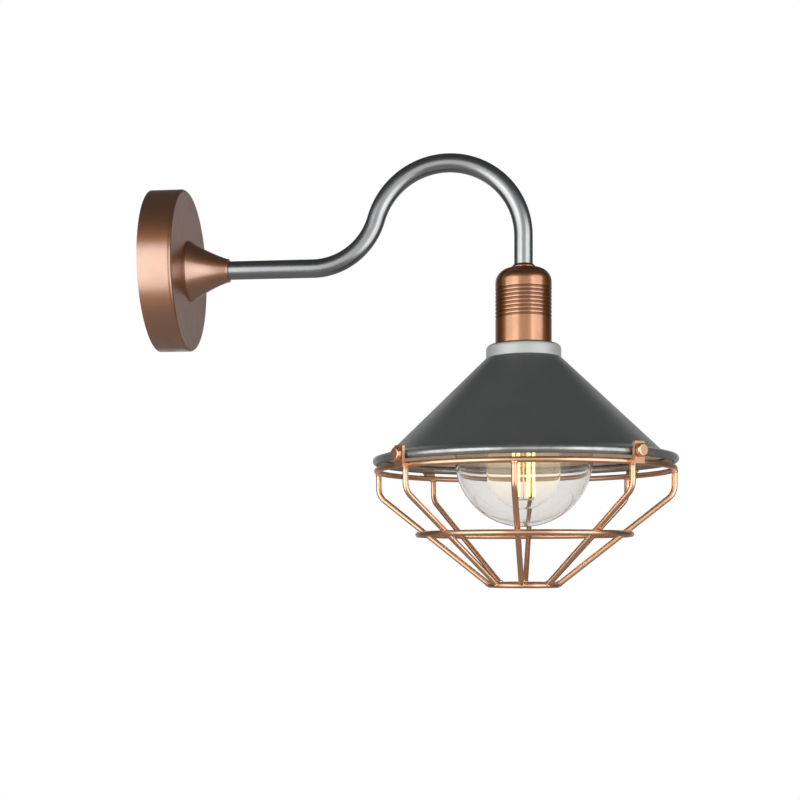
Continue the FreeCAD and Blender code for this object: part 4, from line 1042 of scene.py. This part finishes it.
def card(name, where, width, height, grey):
    deselect()
    bpy.ops.mesh.primitive_plane_add(size=1)
    sheet = bpy.context.active_object
    sheet.name = name
    sheet.scale = (width, height, 1)
    sheet.location = where
    aim(sheet, CARD_TARGET)
    material = new_material(name)
    nodes_of_card = Nodes(material.node_tree)
    nodes_of_card.surface(nodes_of_card.node("ShaderNodeEmission", {}, {"Color": (*grey, 1)}))
    sheet.data.materials.append(material)
    sheet.visible_camera = False
    sheet.visible_diffuse = False
    sheet.visible_transmission = False
    sheet.visible_shadow = False


print("cards face", CARD_TARGET)

# %% [markdown]
# Most cards are dark, so the metal's sides go dark as they turn away. The pale card in front, with a
# larger dark one behind it, gives the cup and the cone the quieter middle band.

# %% Cards all round
card("CardAbove", (STAGE_X, 0, 1.2), width=4, height=4, grey=(0.06, 0.06, 0.064))
card("CardBelow", (STAGE_X, 0, -1.3), width=4, height=4, grey=(0.26, 0.245, 0.24))
card("CardBehind", (STAGE_X, 1.6, 0), width=4, height=3, grey=(0.19, 0.185, 0.195))
card("CardFront", (STAGE_X, -1.8, -0.1), width=4, height=1.5, grey=(0.98, 0.95, 0.92))
card("CardFrontFar", (STAGE_X, -2.3, 0), width=6, height=6, grey=(0.12, 0.115, 0.11))
card("CardLeft", (-1.7, 0, 0), width=4, height=3, grey=(0.04, 0.04, 0.04))
card("CardRight", (2.1, 0, 0), width=4, height=3, grey=(0.06, 0.06, 0.06))

# %% [markdown]
# ## World and floor
# The world is plain white where it is looked at, and dimmer where it only lights the pieces. The
# eye looks in three ways: straight, by a mirror and through glass. So the white comes from the
# colour of the background, and no extra light falls on the lamp.

# %% World
def white_to_eye(tree, plain, strength):
    """The given strength for rays that look, and plain for rays that only carry light."""
    looks = tree.node("ShaderNodeLightPath", {}, {}, "Is Camera Ray")
    for kind in ("Is Glossy Ray", "Is Transmission Ray"):
        looks = looks.sum("MAXIMUM", looks, tree.node("ShaderNodeLightPath", {}, {}, kind))
    return plain + looks * (strength - plain)


WORLD_LIGHT = 0.45

world = bpy.data.worlds.new("World")
bpy.context.scene.world = world
world.use_nodes = True
sky = Nodes(world.node_tree)
white = {"Color": (1, 1, 1, 1), "Strength": white_to_eye(sky, WORLD_LIGHT, 1.0)}
sky.surface(sky.node("ShaderNodeBackground", {}, white))
print("world light", WORLD_LIGHT)

# %% [markdown]
# The floor is pale and a metre and a half below, as under a light on a wall. It glows a little for
# the eye, which brings it up to white, and still holds the lamp's soft shadow.

# %% Floor
FLOOR_Z = -1.5
FLOOR_RADIUS = 5
FLOOR_GLOW = 0.58

deselect()
bpy.ops.mesh.primitive_circle_add(
    vertices=96, radius=FLOOR_RADIUS, fill_type="NGON", location=(STAGE_X, 0, FLOOR_Z))
floor = bpy.context.active_object
floor.name = "Floor"
pale = Finish("PaleFloor", (0.9, 0.9, 0.9), 0.0, 0.9, Emission_Color=(1, 1, 1, 1))
pale.wire("Emission Strength", white_to_eye(pale, 0.0, FLOOR_GLOW))
paint(floor, pale.material)
print("floor at", FLOOR_Z, "m")

# %% [markdown]
# ## The bulb's own light
# The rods are too thin to light the shade without noise, so a small soft lamp at the rods' middle
# carries their warm light. The eye sees only the rods, never this lamp, nor its mirror image.

# %% The bulb's own light
GLOW_WATTS = 0.3
GLOW_COLOUR = (1.0, 0.72, 0.42)
GLOW_SIZE = 30 * MM

lit = bpy.data.lights.new("BulbGlow", "POINT")
lit.energy = GLOW_WATTS
lit.color = GLOW_COLOUR
lit.shadow_soft_size = GLOW_SIZE
glow_lamp = bpy.data.objects.new("BulbGlow", lit)
bpy.context.scene.collection.objects.link(glow_lamp)
glow_lamp.location = (axis_x, 0, rod_middle)
glow_lamp.visible_camera = False
glow_lamp.visible_transmission = False
glow_lamp.visible_glossy = False
print("warm light at", [round(v, 3) for v in glow_lamp.location])

# %% [markdown]
# ## Colour
# The Standard view shows a colour as it is written.

# %% Close
bpy.context.scene.view_settings.view_transform = "Standard"
